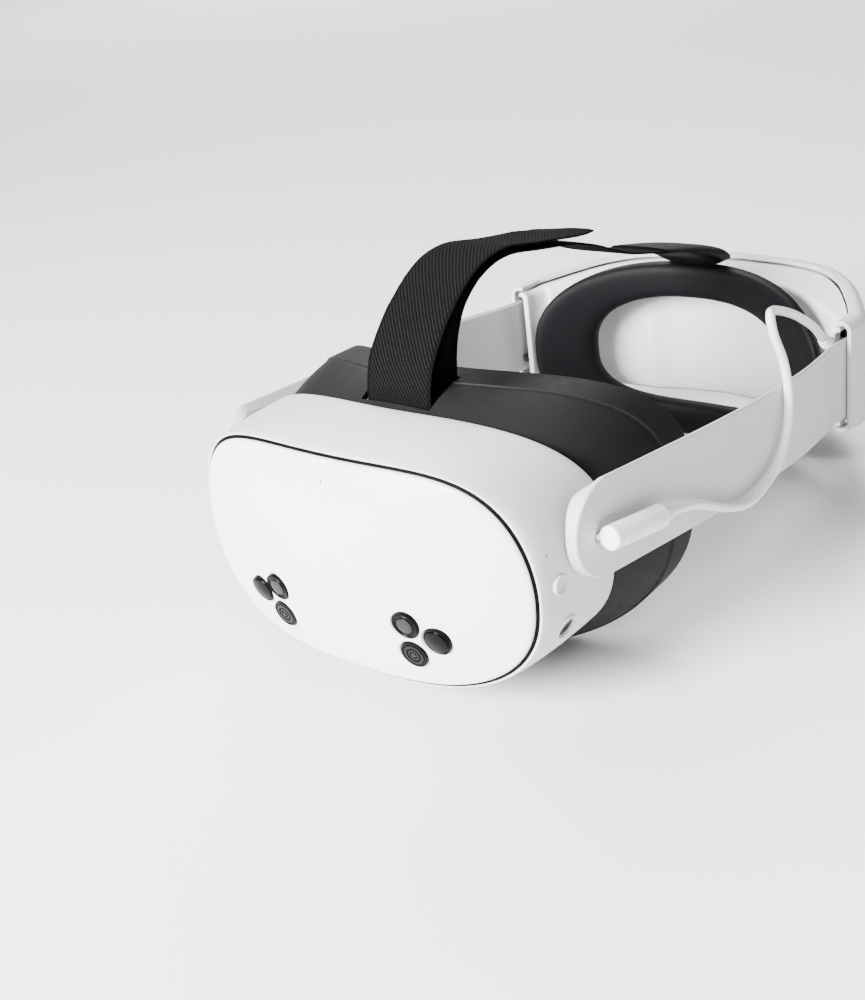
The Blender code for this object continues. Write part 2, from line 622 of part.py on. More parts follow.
def strap_arm(side, label, body):
    front = POD_Y - POD_RADIUS
    stations = [front + POD_RADIUS * (1 - math.cos(math.radians(a))) for a in (9, 24, 40, 56, 73, 90)]
    stations += [0.062, 0.0748, 0.0752, 0.086, 0.098, 0.101, 0.105, 0.108, 0.120, 0.140, 0.160, 0.180, 0.200,
                 0.215, 0.230, 0.240, 0.248, ARM_END]
    rings = []
    for y in stations:
        reach = y - POD_Y
        half = ARM_HEIGHT / 2 + 0.0006 if reach > 0 else math.sqrt(max(POD_RADIUS ** 2 - reach ** 2, 1e-8))
        half = min(half, ARM_HEIGHT / 2 + 0.0006)
        middle = arm_middle(y)
        out, into = arm_outer(y), arm_inner(y)
        c = min(0.0008, (out - into) * 0.3)
        corners = [(out, half - c), (out - c, half), (into + c, half), (into, half - c),
                   (into, -half + c), (into + c, -half), (out - c, -half), (out, -half + c)]
        rings.append([Vector((side * x, y, middle + h)) for x, h in corners])
    made = finish(f"strap_arm_{label}", loft("arm", rings), ARM_WHITE, body)
    hole = PIN_RADIUS + GAP
    boolean(made, solid("cylinder", (hole, hole, 0.0060), (side * 0.0921, PIVOT_Y, PIVOT_Z), (0, 90, 0), 20))
    depth = arm_inner(SPEAKER_Y)
    hole = SPEAKER_RADIUS + GAP
    place = (side * depth, SPEAKER_Y, arm_middle(SPEAKER_Y))
    boolean(made, solid("cylinder", (hole, hole, 0.0052), place, (0, 90, 0)))
    place = (side * (depth + 0.0012), SPEAKER_Y, arm_middle(SPEAKER_Y))
    disc = solid("cylinder", (SPEAKER_RADIUS, SPEAKER_RADIUS, 0.0020), place, (0, 90, 0))
    finish(f"speaker_{label}", disc, DARK_PLASTIC, body)
    return made


def rounded_bar(length, height, depth, place):
    """A bar with round ends along the arm, its depth along X."""
    half, radius = (length - height) / 2, height / 2
    outline = []
    for k in range(16):
        angle = math.pi * (k + 0.5) / 8
        outline.append((math.copysign(half, math.cos(angle)) + radius * math.cos(angle),
                        radius * math.sin(angle)))
    rings = [[Vector((place[0] + x, place[1] + u, place[2] + v)) for u, v in outline]
             for x in (-depth / 2, depth / 2)]
    return loft("bar", rings)


def charging(arm):
    face = arm_outer(PORT_Y)
    boolean(arm, rounded_bar(0.0110, 0.0052, 0.0070, (face, PORT_Y, PORT_Z)))
    shield = rounded_bar(0.0104, 0.0046, 0.0026, (face - 0.0018, PORT_Y, PORT_Z))
    port = finish("charge_port", shield, STEEL, LEFT_ARM)
    boolean(port, rounded_bar(0.0092, 0.0034, 0.0060, (face, PORT_Y, PORT_Z)))
    start, end = Vector((0.1025, 0.0398, 0.0158)), Vector((0.1060, 0.0726, 0.0113))
    line = (end - start).normalized()
    body = (end - start).length
    profile = [(0.0, 0.6), (0.0004, 0.86), (0.0014, 1.0), (body - 0.0022, 1.0), (body - 0.0006, 0.88),
               (body, 0.66), (body + 0.0016, 0.66), (body + 0.0024, 0.60), (body + 0.0052, 0.50)]
    up = Vector((1, 0, 0)).cross(line)
    rings = []
    for along, scale in profile:
        middle = start + line * along
        rings.append([middle + PLUG_RADIUS * scale * (Vector((1, 0, 0)) * math.cos(a) + up * math.sin(a))
                      for a in [2 * math.pi * k / 20 for k in range(20)]])
    plug = finish("charge_plug", loft("plug", rings), CABLE_WHITE, LEFT_ARM)
    boolean(plug, rounded_bar(0.0084, 0.0026, 0.0060, (face + 0.0012, PORT_Y, PORT_Z)), "UNION")
    return start + line * (profile[-1][0] + GAP)


CABLE_ROUTE = [(0.1071, 0.0868, 0.0086), (0.1076, 0.0975, 0.0052), (0.1080, 0.1090, -0.0008),
               (0.1082, 0.1230, -0.0078),
               (0.1084, 0.1390, -0.0128), (0.1084, 0.1550, -0.0113), (0.1082, 0.1680, -0.0062),
               (0.1080, 0.1755, 0.0025), (0.1078, 0.1795, 0.0130), (0.1076, 0.1795, 0.0258),
               (0.1068, 0.1770, 0.0385), (0.1052, 0.1722, 0.0510), (0.1030, 0.1735, 0.0590),
               (0.0998, 0.1822, 0.0582), (0.0976, 0.1930, 0.0545), (0.0962, 0.2060, 0.0490),
               (0.0950, 0.2190, 0.0424), (0.0930, 0.2380, 0.0310)]
CABLE_END = (0.0906, 0.2524, 0.0202)


def cable(start):
    points = smooth_line([tuple(start)] + CABLE_ROUTE + [CABLE_END], 2)
    curve = bpy.data.curves.new("charge_cable", "CURVE")
    curve.dimensions = "3D"
    curve.bevel_depth = CABLE_RADIUS
    curve.bevel_resolution = 2
    curve.use_fill_caps = True
    spline = curve.splines.new("POLY")
    spline.points.add(len(points) - 1)
    for slot, point in zip(spline.points, points):
        slot.co = (*(point - body_place(LEFT_ARM)), 1)
    curve.materials.append(CABLE_WHITE)
    made = bpy.data.objects.new("charge_cable", curve)
    PARTS.objects.link(made)
    made.parent = LEFT_ARM
    return points


# ---------------------------------------------------------------- rear housing
def housing_line(steps=3):
    half = smooth_line(HOUSING_PLAN, steps)
    return half + [Vector((-p.x, p.y)) for p in reversed(half[:-1])]


def inward_normals(line):
    """Unit normals of a plan line that runs from the left mouth round the rear, pointing towards the head."""
    normals = []
    for k in range(len(line)):
        ahead = line[min(k + 1, len(line) - 1)] - line[max(k - 1, 0)]
        normals.append(Vector((-ahead.y, ahead.x)).normalized() * -1)
    return [n if n.dot(Vector((0, 0.28)) - p) > 0 else -n for n, p in zip(normals, line)]


def half_height(point):
    """Half height of the housing: taller towards the rear middle."""
    reach = min(max((point.y - MOUTH_Y) / 0.080, 0.0), 1.0)
    return HOUSING_HALF[0] + (HOUSING_HALF[1] - HOUSING_HALF[0]) * reach * reach * (3 - 2 * reach)


def sweep_housing(name, line, profile_of):
    """Sweeps a closed (inset, height) profile along a plan line."""
    rings = []
    for here, normal in zip(line, inward_normals(line)):
        middle = arm_middle(here.y)
        ring = []
        for inset, height in profile_of(half_height(here), here):
            place = here + normal * inset
            ring.append(Vector((place.x, place.y, middle + height)))
        rings.append(ring)
    return loft(name, rings)


def c_profile(half, wall, lip, round_off):
    """A channel section, open towards the head: outer face at inset 0, lips reaching in."""
    r, w = round_off, wall
    outer = [(lip, half), (r, half), (r * 0.3, half - r * 0.3), (0, half - r), (0, -half + r),
             (r * 0.3, -half + r * 0.3), (r, -half), (lip, -half)]
    inner = [(lip, -half + w), (r + w * 0.5, -half + w), (w + r * 0.3, -half + r * 0.3 + w),
             (w, -half + r + w * 0.5),
             (w, half - r - w * 0.5), (w + r * 0.3, half - r * 0.3 - w), (r + w * 0.5, half - w),
             (lip, half - w)]
    return outer + inner


INNER_GAP_SIDE, INNER_GAP_REAR = 0.0088, 0.0345


def base_inset(point):
    """Distance from the cover's outer face in to the base's wall: thin at the mouths, deep at the rear."""
    reach = min(max((point.y - 0.268) / 0.070, 0.0), 1.0)
    return INNER_GAP_SIDE + (INNER_GAP_REAR - INNER_GAP_SIDE) * reach


def housing_cover():
    def profile(half, point):
        return c_profile(half, HOUSING_WALL, min(0.0085, base_inset(point) - 0.0005), 0.0060)
    made = finish("housing_cover", sweep_housing("housing_cover", housing_line(), profile), SHELL_WHITE,
                  HOUSING)
    hole = DIAL_RADIUS + 0.0006
    place = (0, 0.352, arm_middle(DIAL_Y))
    boolean(made, solid("cylinder", (hole, hole, 0.03), place, (90, 0, 0), 32))
    return made


def housing_base():
    def profile(half, point):
        back = base_inset(point)
        half = half - HOUSING_WALL - 0.0010
        lip, w, r = 0.0090 if back > 0.012 else back - 0.0026, HOUSING_WALL, 0.0030
        front = max(lip, HOUSING_WALL + 0.0010)
        shape = [(front, half), (back, half), (back + w, half - w * 1.2), (back + w, -half + w * 1.2),
                 (back, -half),
                 (front, -half), (front, -half + w), (back - r * 0.3, -half + w), (back, -half + w + r * 0.4),
                 (back, half - w - r * 0.4), (back - r * 0.3, half - w), (front, half - w)]
        return shape
    made = finish("housing_base", sweep_housing("housing_base", housing_line(), profile), ARM_WHITE, HOUSING)
    return made


def dial():
    middle = arm_middle(DIAL_Y)
    rings = []
    steps = 48
    profile = [(0.3470, 0.90, 0), (0.3478, 0.97, 0.022), (0.3575, 0.97, 0.022), (0.3592, 0.90, 0),
               (0.3592, 0.3, 0)]
    for y, radius, tooth in profile:
        ring = []
        for k in range(steps):
            r = DIAL_RADIUS * (radius + tooth * (1 if k % 2 else -1) * 0.8)
            a = 2 * math.pi * k / steps
            ring.append(Vector((r * math.cos(a), y, middle + r * math.sin(a))))
        rings.append(ring)
    made = finish("fit_dial", loft("fit_dial", rings), SHELL_WHITE, DIAL)
    gear = []
    for k in range(PINION_TEETH * 4):
        r = PINION_RADIUS + (0.0008 if k % 4 in (0, 1) else -0.0010)
        a = 2 * math.pi * (k + 0.5) / (PINION_TEETH * 4)
        gear.append((r * math.cos(a), middle + r * math.sin(a)))
    rings = [[Vector((x, y, z)) for x, z in gear] for y in (0.3385, 0.3466)]
    finish("pinion", loft("pinion", rings), DARK_PLASTIC, DIAL)
    return made


def rack_inset(y):
    """Distance of the rack from the cover's outer face: it starts beside the arm, then moves in to the pinion."""
    reach = min(max((y - 0.285) / 0.055, 0.0), 1.0)
    return 0.0061 + 0.0063 * reach * reach * (3 - 2 * reach)


def racks():
    """Flexible toothed bands that run round inside the cover from each arm to the pinion."""
    line = [p for p in housing_line(3) if p.y > ARM_END + 0.001]
    for side, label in ((1, "left"), (-1, "right")):
        path = [p for p in line if side * p.x > 0.004]
        path = [Vector((side * HOUSING_PLAN[0][0], ARM_END - 0.0060))] + sorted(path, key=lambda p: p.y)
        path = [Vector((abs(p.x), p.y)) for p in path]
        lower, upper = (0.0108, 0.0150) if side > 0 else (-0.0150, -0.0108)
        rings = []
        for here, normal in zip(path, inward_normals(path)):
            ring = []
            for inset, height in ((0.0, lower), (0.0016, lower), (0.0016, upper), (0.0, upper)):
                place = here + normal * (inset + rack_inset(here.y))
                ring.append(Vector((side * place.x, place.y, arm_middle(here.y) + height)))
            rings.append(ring)
        finish(f"fit_rack_{label}", loft("rack", rings), DARK_PLASTIC, HOUSING)


def rear_inside():
    for side, label in ((1, "left"), (-1, "right")):
        place = (side * 0.0345, 0.3290, arm_middle(0.329))
        cell = solid("cylinder", (0.0072, 0.0072, 0.0480), place, (0, 90, 0), 20)
        turn = Matrix.Rotation(math.radians(-side * 15), 4, "Z")
        cell.transform(Matrix.Translation(place) @ turn @ Matrix.Translation(-Vector(place)))
        finish(f"battery_cell_{label}", cell, CELL_BLUE, HOUSING)
    board = solid("box", (0.0160, 0.0012, 0.0240), (0.0, 0.3268, arm_middle(0.327)))
    finish("charge_board", board, BOARD_GREEN, HOUSING)


def ring_section(scale_outer, scale_inner, t):
    """Half sizes of the outline a fraction t of the way from the hole to the rim."""
    return [a + (b - a) * t for a, b in zip(scale_inner, scale_outer)]


def cradle_ring():
    rings = []
    section = [(0.0, 0.25), (0.0, 0.75), (0.06, 0.0), (0.5, -0.10), (0.94, 0.0), (1.0, 0.25), (1.0, 0.75),
               (0.92, 1.0), (0.08, 1.0)]
    for t, depth in section:
        half = ring_section(RING_HALF, RING_HOLE, t)
        outline = superellipse((half[0], half[1], half[1]), RING_POWER)
        rings.append([Vector((x, RING_Y - RING_SWEEP * (x / RING_HALF[0]) ** 2 + depth * RING_THICK,
                              RING_Z + z))
                      for x, z in outline])
    order = [rings[k] for k in (0, 2, 3, 4, 5, 6, 7, 8, 1)]
    made = finish("cradle_ring", loft("cradle_ring", order, around=True), CHARCOAL, HOUSING)
    return made


POST_X, POST_RADIUS, POST_LENGTH = 0.0690, 0.0035, 0.0042


def ring_posts():
    """Stubs that carry the ring's sides on the base's wall."""
    near = RING_Y - RING_SWEEP * ((POST_X - POST_RADIUS) / RING_HALF[0]) ** 2 + RING_THICK + 0.0004
    for side, label in ((1, "left"), (-1, "right")):
        place = (side * POST_X, near + POST_LENGTH / 2, RING_Z)
        post = solid("cylinder", (POST_RADIUS, POST_RADIUS, POST_LENGTH), place, (90, 0, 0), 16)
        finish(f"ring_post_{label}", post, DARK_PLASTIC, HOUSING)


TAB = [(0.2380, 0.0604, 0.0636, 0.0162), (0.2460, 0.0580, 0.0617, 0.0170), (0.2560, 0.0547, 0.0594, 0.0176),
       (0.2660, 0.0509, 0.0570, 0.0181), (0.2760, 0.0467, 0.0543, 0.0184), (0.2840, 0.0424, 0.0519, 0.0186),
       (0.2900, 0.0390, 0.0500, 0.0186), (0.2960, 0.0386, 0.0476, 0.0183), (0.2995, 0.0386, 0.0448, 0.0179)]


def strap_tab():
    """The rubber tongue on the ring's upper edge that the rear end of the top strap is held in."""
    rings = []
    for y, low, high, half in TAB:
        c = min(0.0012, (high - low) * 0.3)
        corners = [(half, low + c), (half - c, low), (-half + c, low), (-half, low + c), (-half, high - c),
                   (-half + c, high), (half - c, high), (half, high - c)]
        rings.append([Vector((x, y, z)) for x, z in corners])
    made = finish("strap_tab", loft("strap_tab", rings), CHARCOAL, HOUSING)
    wide = (STRAP_WIDTH + 0.0006, STRAP_REAR_WIDTH + 0.0006)
    boolean(made, flat_band("slit", STRAP_REAR, wide, STRAP_THICK + 2 * GAP))
    return made


def cable_gland():
    end = Vector(CABLE_END)
    line = Vector((0, 0.8, -0.6)).normalized()
    up = Vector((1, 0, 0)).cross(line)
    rings = []
    for along, radius in ((GAP, 0.0026), (0.0030, 0.0030), (0.0072, 0.0034), (0.0080, 0.0034)):
        middle = end + line * along
        rings.append([middle + radius * (Vector((1, 0, 0)) * math.cos(a) + up * math.sin(a))
                      for a in [2 * math.pi * k / 16 for k in range(16)]])
    finish("cable_gland", loft("gland", rings), CABLE_WHITE, HOUSING)


# ---------------------------------------------------------------- assembly
def build():
    front_cover()
    vent_gasket()
    visor_shell()
    cameras()
    buttons()
    electronics()
    fan()
    optics()
    lens_bezel()
    face_cover()
    face_frame()
    strap_bridge()
    top_straps()
    pivot_pin(1, "left")
    pivot_pin(-1, "right")
    left = strap_arm(1, "left", LEFT_ARM)
    strap_arm(-1, "right", RIGHT_ARM)
    cable(charging(left))
    housing_cover()
    housing_base()
    dial()
    racks()
    rear_inside()
    cradle_ring()
    ring_posts()
    strap_tab()
    cable_gland()


build()
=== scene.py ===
"""Looks of the stand-alone VR headset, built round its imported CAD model.

Metres. As in the CAD source, shapes are worked out with y measured from the front rim of the visor, and are
shifted to the frame's origin, the middle of the face opening, when they become pieces.
"""

import json
import math

import bmesh
import bpy
from mathutils import Matrix, Vector, noise

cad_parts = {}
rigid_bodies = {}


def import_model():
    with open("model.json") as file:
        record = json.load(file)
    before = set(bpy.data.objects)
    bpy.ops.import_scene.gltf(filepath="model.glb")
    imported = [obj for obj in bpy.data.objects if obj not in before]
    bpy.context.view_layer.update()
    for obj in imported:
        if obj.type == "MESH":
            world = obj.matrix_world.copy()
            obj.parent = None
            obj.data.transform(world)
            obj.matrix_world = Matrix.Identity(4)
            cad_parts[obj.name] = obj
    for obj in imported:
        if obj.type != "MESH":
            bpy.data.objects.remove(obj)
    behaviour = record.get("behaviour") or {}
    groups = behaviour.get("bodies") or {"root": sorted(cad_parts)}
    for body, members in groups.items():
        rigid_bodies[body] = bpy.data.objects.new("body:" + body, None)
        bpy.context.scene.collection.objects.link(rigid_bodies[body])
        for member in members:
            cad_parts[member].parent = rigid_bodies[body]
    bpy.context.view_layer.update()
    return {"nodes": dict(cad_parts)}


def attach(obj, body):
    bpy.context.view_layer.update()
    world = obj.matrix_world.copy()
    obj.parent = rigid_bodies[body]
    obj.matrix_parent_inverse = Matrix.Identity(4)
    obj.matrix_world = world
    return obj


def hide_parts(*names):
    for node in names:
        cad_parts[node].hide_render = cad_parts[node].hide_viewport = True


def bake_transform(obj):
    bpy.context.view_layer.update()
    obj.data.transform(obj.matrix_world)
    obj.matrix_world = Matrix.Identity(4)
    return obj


for leftover in list(bpy.data.objects):
    bpy.data.objects.remove(leftover, do_unlink=True)
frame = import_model()

# ---------------------------------------------------------------- sizes shared with the CAD source
FACE_TO_RIM = 0.090
GAP = 0.0003
WELD = 2e-6
COVER_HALF = (0.0871, 0.0472, 0.0480)
COVER_POWER = ((5.08, 1.87), (3.13, 2.39))
COVER_SWEEP = 0.0099
DOME = 0.0088
DOME_POWER = 2.15
LIP = 0.0012  # from the front cover out to the shell's lip
LIP_DEPTH = 0.0013
SHELL_HALF = (0.0925, 0.0510, 0.0510)
SHELL_POWER = ((2.94, 2.94), (2.94, 2.94))
SHELL_RISE = 0.0023
SHELL_DEPTH = 0.0394
SHELL_SWEEP = 0.0183
SHELL_WALL = 0.0024
LIP_WALL = 0.0005
FLANGE_HALF = (0.0946, 0.0588, 0.0640)
FLANGE_POWER = ((3.3, 3.3), (2.8, 2.8))
FLANGE_DEPTH = 0.0774
FLANGE_SWEEP = 0.0405
FLANGE_BAND = 0.0180
FACE_WALL = 0.0022
CAMERAS = {"color_camera": (0.0349, -0.0159), "tracking_camera": (0.0478, -0.0214),
           "depth_light": (0.0356, -0.0301)}
CAMERA_RADIUS = 0.0063
BUTTON_Y, BUTTON_Z, BUTTON_RADIUS = 0.0220, 0.0022, 0.0042
COVER_MICS = ((-0.0009, 0.0384), (-0.0476, -0.0122))  # x and z on the front cover
SIDE_MIC = (0.018, 0.016)  # y and z on the shell
MIC_RADIUS = 0.0006
ROCKER_X, ACTION_X, UNDER_Y, UNDER_Z = 0.034, -0.034, 0.027, -0.0507
CAMERA_FACE = (0.075, -0.98, -0.185)  # the way the left camera windows look
SIDE_CAMERA_Y, SIDE_CAMERA_Z, SIDE_CAMERA_RADIUS = 0.0264, -0.0192, 0.0041
SIDE_CAMERA_TILT = math.radians(25)
PIVOT_Y, PIVOT_Z = 0.053, 0.0159
PIN_RADIUS = 0.0025
POD_Y, POD_RADIUS = 0.049, 0.021
FLARE = 0.0012
POD_INNER = 0.0929
ARM_SLOPE = math.tan(math.radians(-5.16))
ARM_HEIGHT = 0.0404
ARM_WALL = 0.0026
ARM_PLAN = [(0.0959, 0.028), (0.0998, 0.075), (0.1033, 0.120), (0.1050, 0.165), (0.1036, 0.205),
            (0.1006, 0.232), (0.0982, 0.248), (0.0980, 0.257), (0.0980, 0.266)]
ARM_END = 0.266
SPEAKER_Y, SPEAKER_RADIUS = 0.0905, 0.0085
PORT_Y, PORT_Z = 0.0443, 0.0148
PLUG_RADIUS = 0.0050
PLUG_START, PLUG_END = (0.1025, 0.0398, 0.0158), (0.1060, 0.0726, 0.0113)
CABLE_RADIUS = 0.0020
CABLE_ROUTE = [(0.1071, 0.0868, 0.0086), (0.1076, 0.0975, 0.0052), (0.1080, 0.1090, -0.0008),
               (0.1082, 0.1230, -0.0078), (0.1084, 0.1390, -0.0128), (0.1084, 0.1550, -0.0113),
               (0.1082, 0.1680, -0.0062), (0.1080, 0.1755, 0.0025), (0.1078, 0.1795, 0.0130),
               (0.1076, 0.1795, 0.0258), (0.1068, 0.1770, 0.0385), (0.1052, 0.1722, 0.0510),
               (0.1030, 0.1735, 0.0590), (0.0998, 0.1822, 0.0582), (0.0976, 0.1930, 0.0545),
               (0.0962, 0.2060, 0.0490), (0.0950, 0.2190, 0.0424), (0.0930, 0.2380, 0.0310)]
CABLE_END = (0.0906, 0.2524, 0.0202)
MOUTH_Y = 0.262
HOUSING_PLAN = [(0.1008, 0.262), (0.1008, 0.279), (0.0968, 0.2885), (0.0892, 0.302), (0.0765, 0.3205),
                (0.0575, 0.3385), (0.0325, 0.350), (0.0, 0.3555)]
HOUSING_HALF = (0.0290, 0.0385)
HOUSING_WALL = 0.0022
INNER_GAP_SIDE, INNER_GAP_REAR = 0.0088, 0.0345
RING_HALF = (0.0860, 0.0500)
RING_HOLE = (0.0575, 0.0310)
RING_POWER = ((2.7, 2.7), (2.7, 2.7))
RING_Y, RING_SWEEP, RING_Z, RING_THICK = 0.290, 0.033, -0.012, 0.011
DIAL_Y, DIAL_RADIUS, DIAL_RIDGES = 0.343, 0.0200, 40
STRAP_SLOT, STRAP_SLOT_PLACE = (0.0366, 0.0230, 0.030), (0, 0.0558, 0.0575)
STRAP_WIDTH, STRAP_REAR_WIDTH, STRAP_THICK = 0.034, 0.030, 0.0014
RIB_PITCH, THREAD_PITCH = 0.00149, 0.0008  # of the weave
STRAP_FRONT = [(0.1738, 0.0906), (0.1680, 0.0908), (0.1570, 0.0922), (0.1430, 0.0943), (0.1300, 0.0966),
               (0.1200, 0.0988), (0.1100, 0.1006), (0.1000, 0.1007), (0.0900, 0.0988), (0.0810, 0.0948),
               (0.0730, 0.0898), (0.0650, 0.0838), (0.0580, 0.0768), (0.0522, 0.0695), (0.0492, 0.0620),
               (0.0478, 0.0550), (0.0476, 0.0500), (0.0484, 0.0452), (0.0515, 0.0422), (0.0563, 0.0414),
               (0.0610, 0.0424), (0.0640, 0.0460), (0.0650, 0.0540), (0.0662, 0.0640), (0.0686, 0.0738),
               (0.0728, 0.0826), (0.0790, 0.0894), (0.0870, 0.0944), (0.0970, 0.0976), (0.1060, 0.0984),
               (0.1150, 0.0976), (0.1300, 0.0945), (0.1430, 0.0920), (0.1540, 0.0899), (0.1640, 0.0872)]
STRAP_REAR = [(0.1648, 0.0869), (0.1790, 0.0818), (0.1887, 0.0774), (0.2010, 0.0724), (0.2129, 0.0684),
              (0.2343, 0.0626), (0.2550, 0.0572), (0.2700, 0.0522), (0.2820, 0.0474), (0.2880, 0.0452)]
TAB = [(0.2380, 0.0604, 0.0636, 0.0162), (0.2460, 0.0580, 0.0617, 0.0170), (0.2560, 0.0547, 0.0594, 0.0176),
       (0.2660, 0.0509, 0.0570, 0.0181), (0.2760, 0.0467, 0.0543, 0.0184), (0.2840, 0.0424, 0.0519, 0.0186),
       (0.2900, 0.0390, 0.0500, 0.0186), (0.2960, 0.0386, 0.0476, 0.0183), (0.2995, 0.0386, 0.0448, 0.0179)]
TO_FRAME = Vector((0, -FACE_TO_RIM, 0))
AROUND = 176  # points round a visor section


# ---------------------------------------------------------------- lines and sections
def ease(low, high, value):
    """0 below low, 1 above high, and a smooth step between them."""
    t = min(max((value - low) / (high - low), 0.0), 1.0)
    return t * t * (3 - 2 * t)


def smooth_line(points, steps):
    """A Catmull-Rom curve through points of any dimension."""
    ends = [2 * Vector(points[0]) - Vector(points[1])] + [Vector(p) for p in points]
    ends.append(2 * Vector(points[-1]) - Vector(points[-2]))
    line = []
    for a, b, c, d in zip(ends, ends[1:], ends[2:], ends[3:]):
        for step in range(steps):
            t = step / steps
            line.append(0.5 * (2 * b + (c - a) * t + (2 * a - 5 * b + 4 * c - d) * t * t
                               + (3 * b - a - 3 * c + d) * t ** 3))
    line.append(ends[-2])
    return line


def spaced(line, count, closed=False):
    """The same line with count points an equal distance apart."""
    line = [Vector(p) for p in line]
    if closed:
        line.append(line[0])
    lengths = [0.0]
    for a, b in zip(line, line[1:]):
        lengths.append(lengths[-1] + (b - a).length)
    steps = count if closed else count - 1
    found, k = [], 0
    for step in range(count):
        want = lengths[-1] * step / steps
        while k < len(line) - 2 and lengths[k + 1] < want:
            k += 1
        share = (want - lengths[k]) / max(lengths[k + 1] - lengths[k], 1e-12)
        found.append(line[k].lerp(line[k + 1], share))
    return found


def powered(value, power):
    """value, between -1 and 1, moved out towards the sides of a superellipse."""
    return math.copysign(abs(value) ** (2 / power), value)


def turns(count, start=0.0):
    """The cosine and sine of count angles, evenly spread round a circle."""
    angles = [2 * math.pi * (k + start) / count for k in range(count)]
    return [(math.cos(angle), math.sin(angle)) for angle in angles]


def superellipse(half, powers):
    """Evenly spaced points (x, z) of a rounded rectangle, anticlockwise from +X.

    half is its half width, height above and depth below the middle. powers holds (across, up) above and below.
    """
    line = []
    for c, s in turns(1440):
        across, up = powers[0] if s >= 0 else powers[1]
        height = half[1] if s >= 0 else half[2]
        line.append((half[0] * powered(c, across), height * powered(s, up)))
    return spaced(line, AROUND, closed=True)


def grown(half, grow):
    return [size + grow for size in half]


def share_of_outline(x, z, half, powers):
    """0 at the middle and 1 on the outline, for a point on a scaled copy of it."""
    across, up = powers[0] if z >= 0 else powers[1]
    height = half[1] if z >= 0 else half[2]
    low, high = 0.0, 2.0
    for _ in range(30):
        share = (low + high) / 2
        if abs(x / half[0] / share) ** across + abs(z / height / share) ** up > 1:
            low = share
        else:
            high = share
    return high


def swept_ring(outline, depth, sweep, half_width, rise=0.0):
    return [Vector((x, depth + sweep * (x / half_width) ** 2, z + rise)) for x, z in outline]


def arm_middle(y):
    return PIVOT_Z + (y - PIVOT_Y) * ARM_SLOPE


# ---------------------------------------------------------------- meshes and pieces
def loft(rings, around=False, capped=True):
    """A mesh through rings of equal point count. around closes the last ring onto the first."""
    count = len(rings[0])
    points = [point for ring in rings for point in ring]
    faces = []
    steps = len(rings) if around else len(rings) - 1
    for row in range(steps):
        here = row * count
        there = ((row + 1) % len(rings)) * count
        for k in range(count):
            after = (k + 1) % count
            faces.append((here + k, here + after, there + after, there + k))
    if capped and not around:
        faces.append(tuple(range(count)))
        faces.append(tuple(range(len(points) - count, len(points))))
    mesh = bpy.data.meshes.new("loft")
    mesh.from_pydata([tuple(p) for p in points], [], faces)
    return outward(mesh)


def outward(mesh):
    """Joins points that meet, and turns the faces outwards."""
    shape = bmesh.new()
    shape.from_mesh(mesh)
    bmesh.ops.remove_doubles(shape, verts=shape.verts, dist=WELD)
    bmesh.ops.recalc_face_normals(shape, faces=shape.faces)
    shape.to_mesh(mesh)
    shape.free()
    return mesh


def lathe(profile, place, axis, sides=64):
    """A turned piece: (radius, height) pairs round an axis through a place."""
    axis = Vector(axis).normalized()
    side = axis.orthogonal().normalized()
    up = axis.cross(side)
    rings = []
    for radius, height in profile:
        middle = Vector(place) + axis * height
        rings.append([middle + radius * (side * c + up * s) for c, s in turns(sides)])
    return loft(rings)


def block(size, place, bevel, segments=3):
    shape = bmesh.new()
    bmesh.ops.create_cube(shape, size=1.0)
    bmesh.ops.scale(shape, vec=size, verts=shape.verts)
    bmesh.ops.bevel(shape, geom=shape.edges, offset=bevel, segments=segments, affect="EDGES", profile=0.6)
    bmesh.ops.translate(shape, vec=place, verts=shape.verts)
    mesh = bpy.data.meshes.new("block")
    shape.to_mesh(mesh)
    shape.free()
    return mesh


def rounded_bar(length, height, depth, place):
    """A bar with round ends along the arm, its depth along X."""
    half, radius = (length - height) / 2, height / 2
    outline = [(math.copysign(half, c) + radius * c, radius * s) for c, s in turns(40, 0.5)]
    ends = [Vector(place) + Vector((x, 0, 0)) for x in (-depth / 2, depth / 2)]
    return loft([[end + Vector((0, u, v)) for u, v in outline] for end in ends])


def cylinder(radius, length, place, axis, sides=64):
    return lathe([(radius, -length / 2), (radius, length / 2)], place, axis, sides)


def carve(mesh, cutters, operation="DIFFERENCE"):
    """Cuts the cutters from a mesh, or joins them to it, and returns the new mesh."""
    body = bpy.data.objects.new("carved", mesh)
    bpy.context.scene.collection.objects.link(body)
    tools = []
    for cutter in cutters:
        tool = bpy.data.objects.new("tool", cutter)
        bpy.context.scene.collection.objects.link(tool)
        change = body.modifiers.new("cut", "BOOLEAN")
        change.operation, change.solver, change.object = operation, "EXACT", tool
        tools.append(tool)
    bpy.context.view_layer.update()
    evaluated = body.evaluated_get(bpy.context.evaluated_depsgraph_get())
    result = bpy.data.meshes.new_from_object(evaluated)
    for obj in [body, *tools]:
        bpy.data.objects.remove(obj, do_unlink=True)
    return result


def piece(name, mesh, look, replaces=(), smooth=35):
    """A named object in the frame. look is one material, or several for a mesh with material indices."""
    mesh.transform(Matrix.Translation(TO_FRAME))
    mesh.shade_smooth()
    mesh.set_sharp_from_angle(angle=math.radians(smooth))
    for one in look if isinstance(look, (list, tuple)) else [look]:
        mesh.materials.append(one)
    made = bpy.data.objects.new(name, mesh)
    bpy.context.scene.collection.objects.link(made)
    if replaces:
        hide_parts(*([replaces] if isinstance(replaces, str) else replaces))
    return made


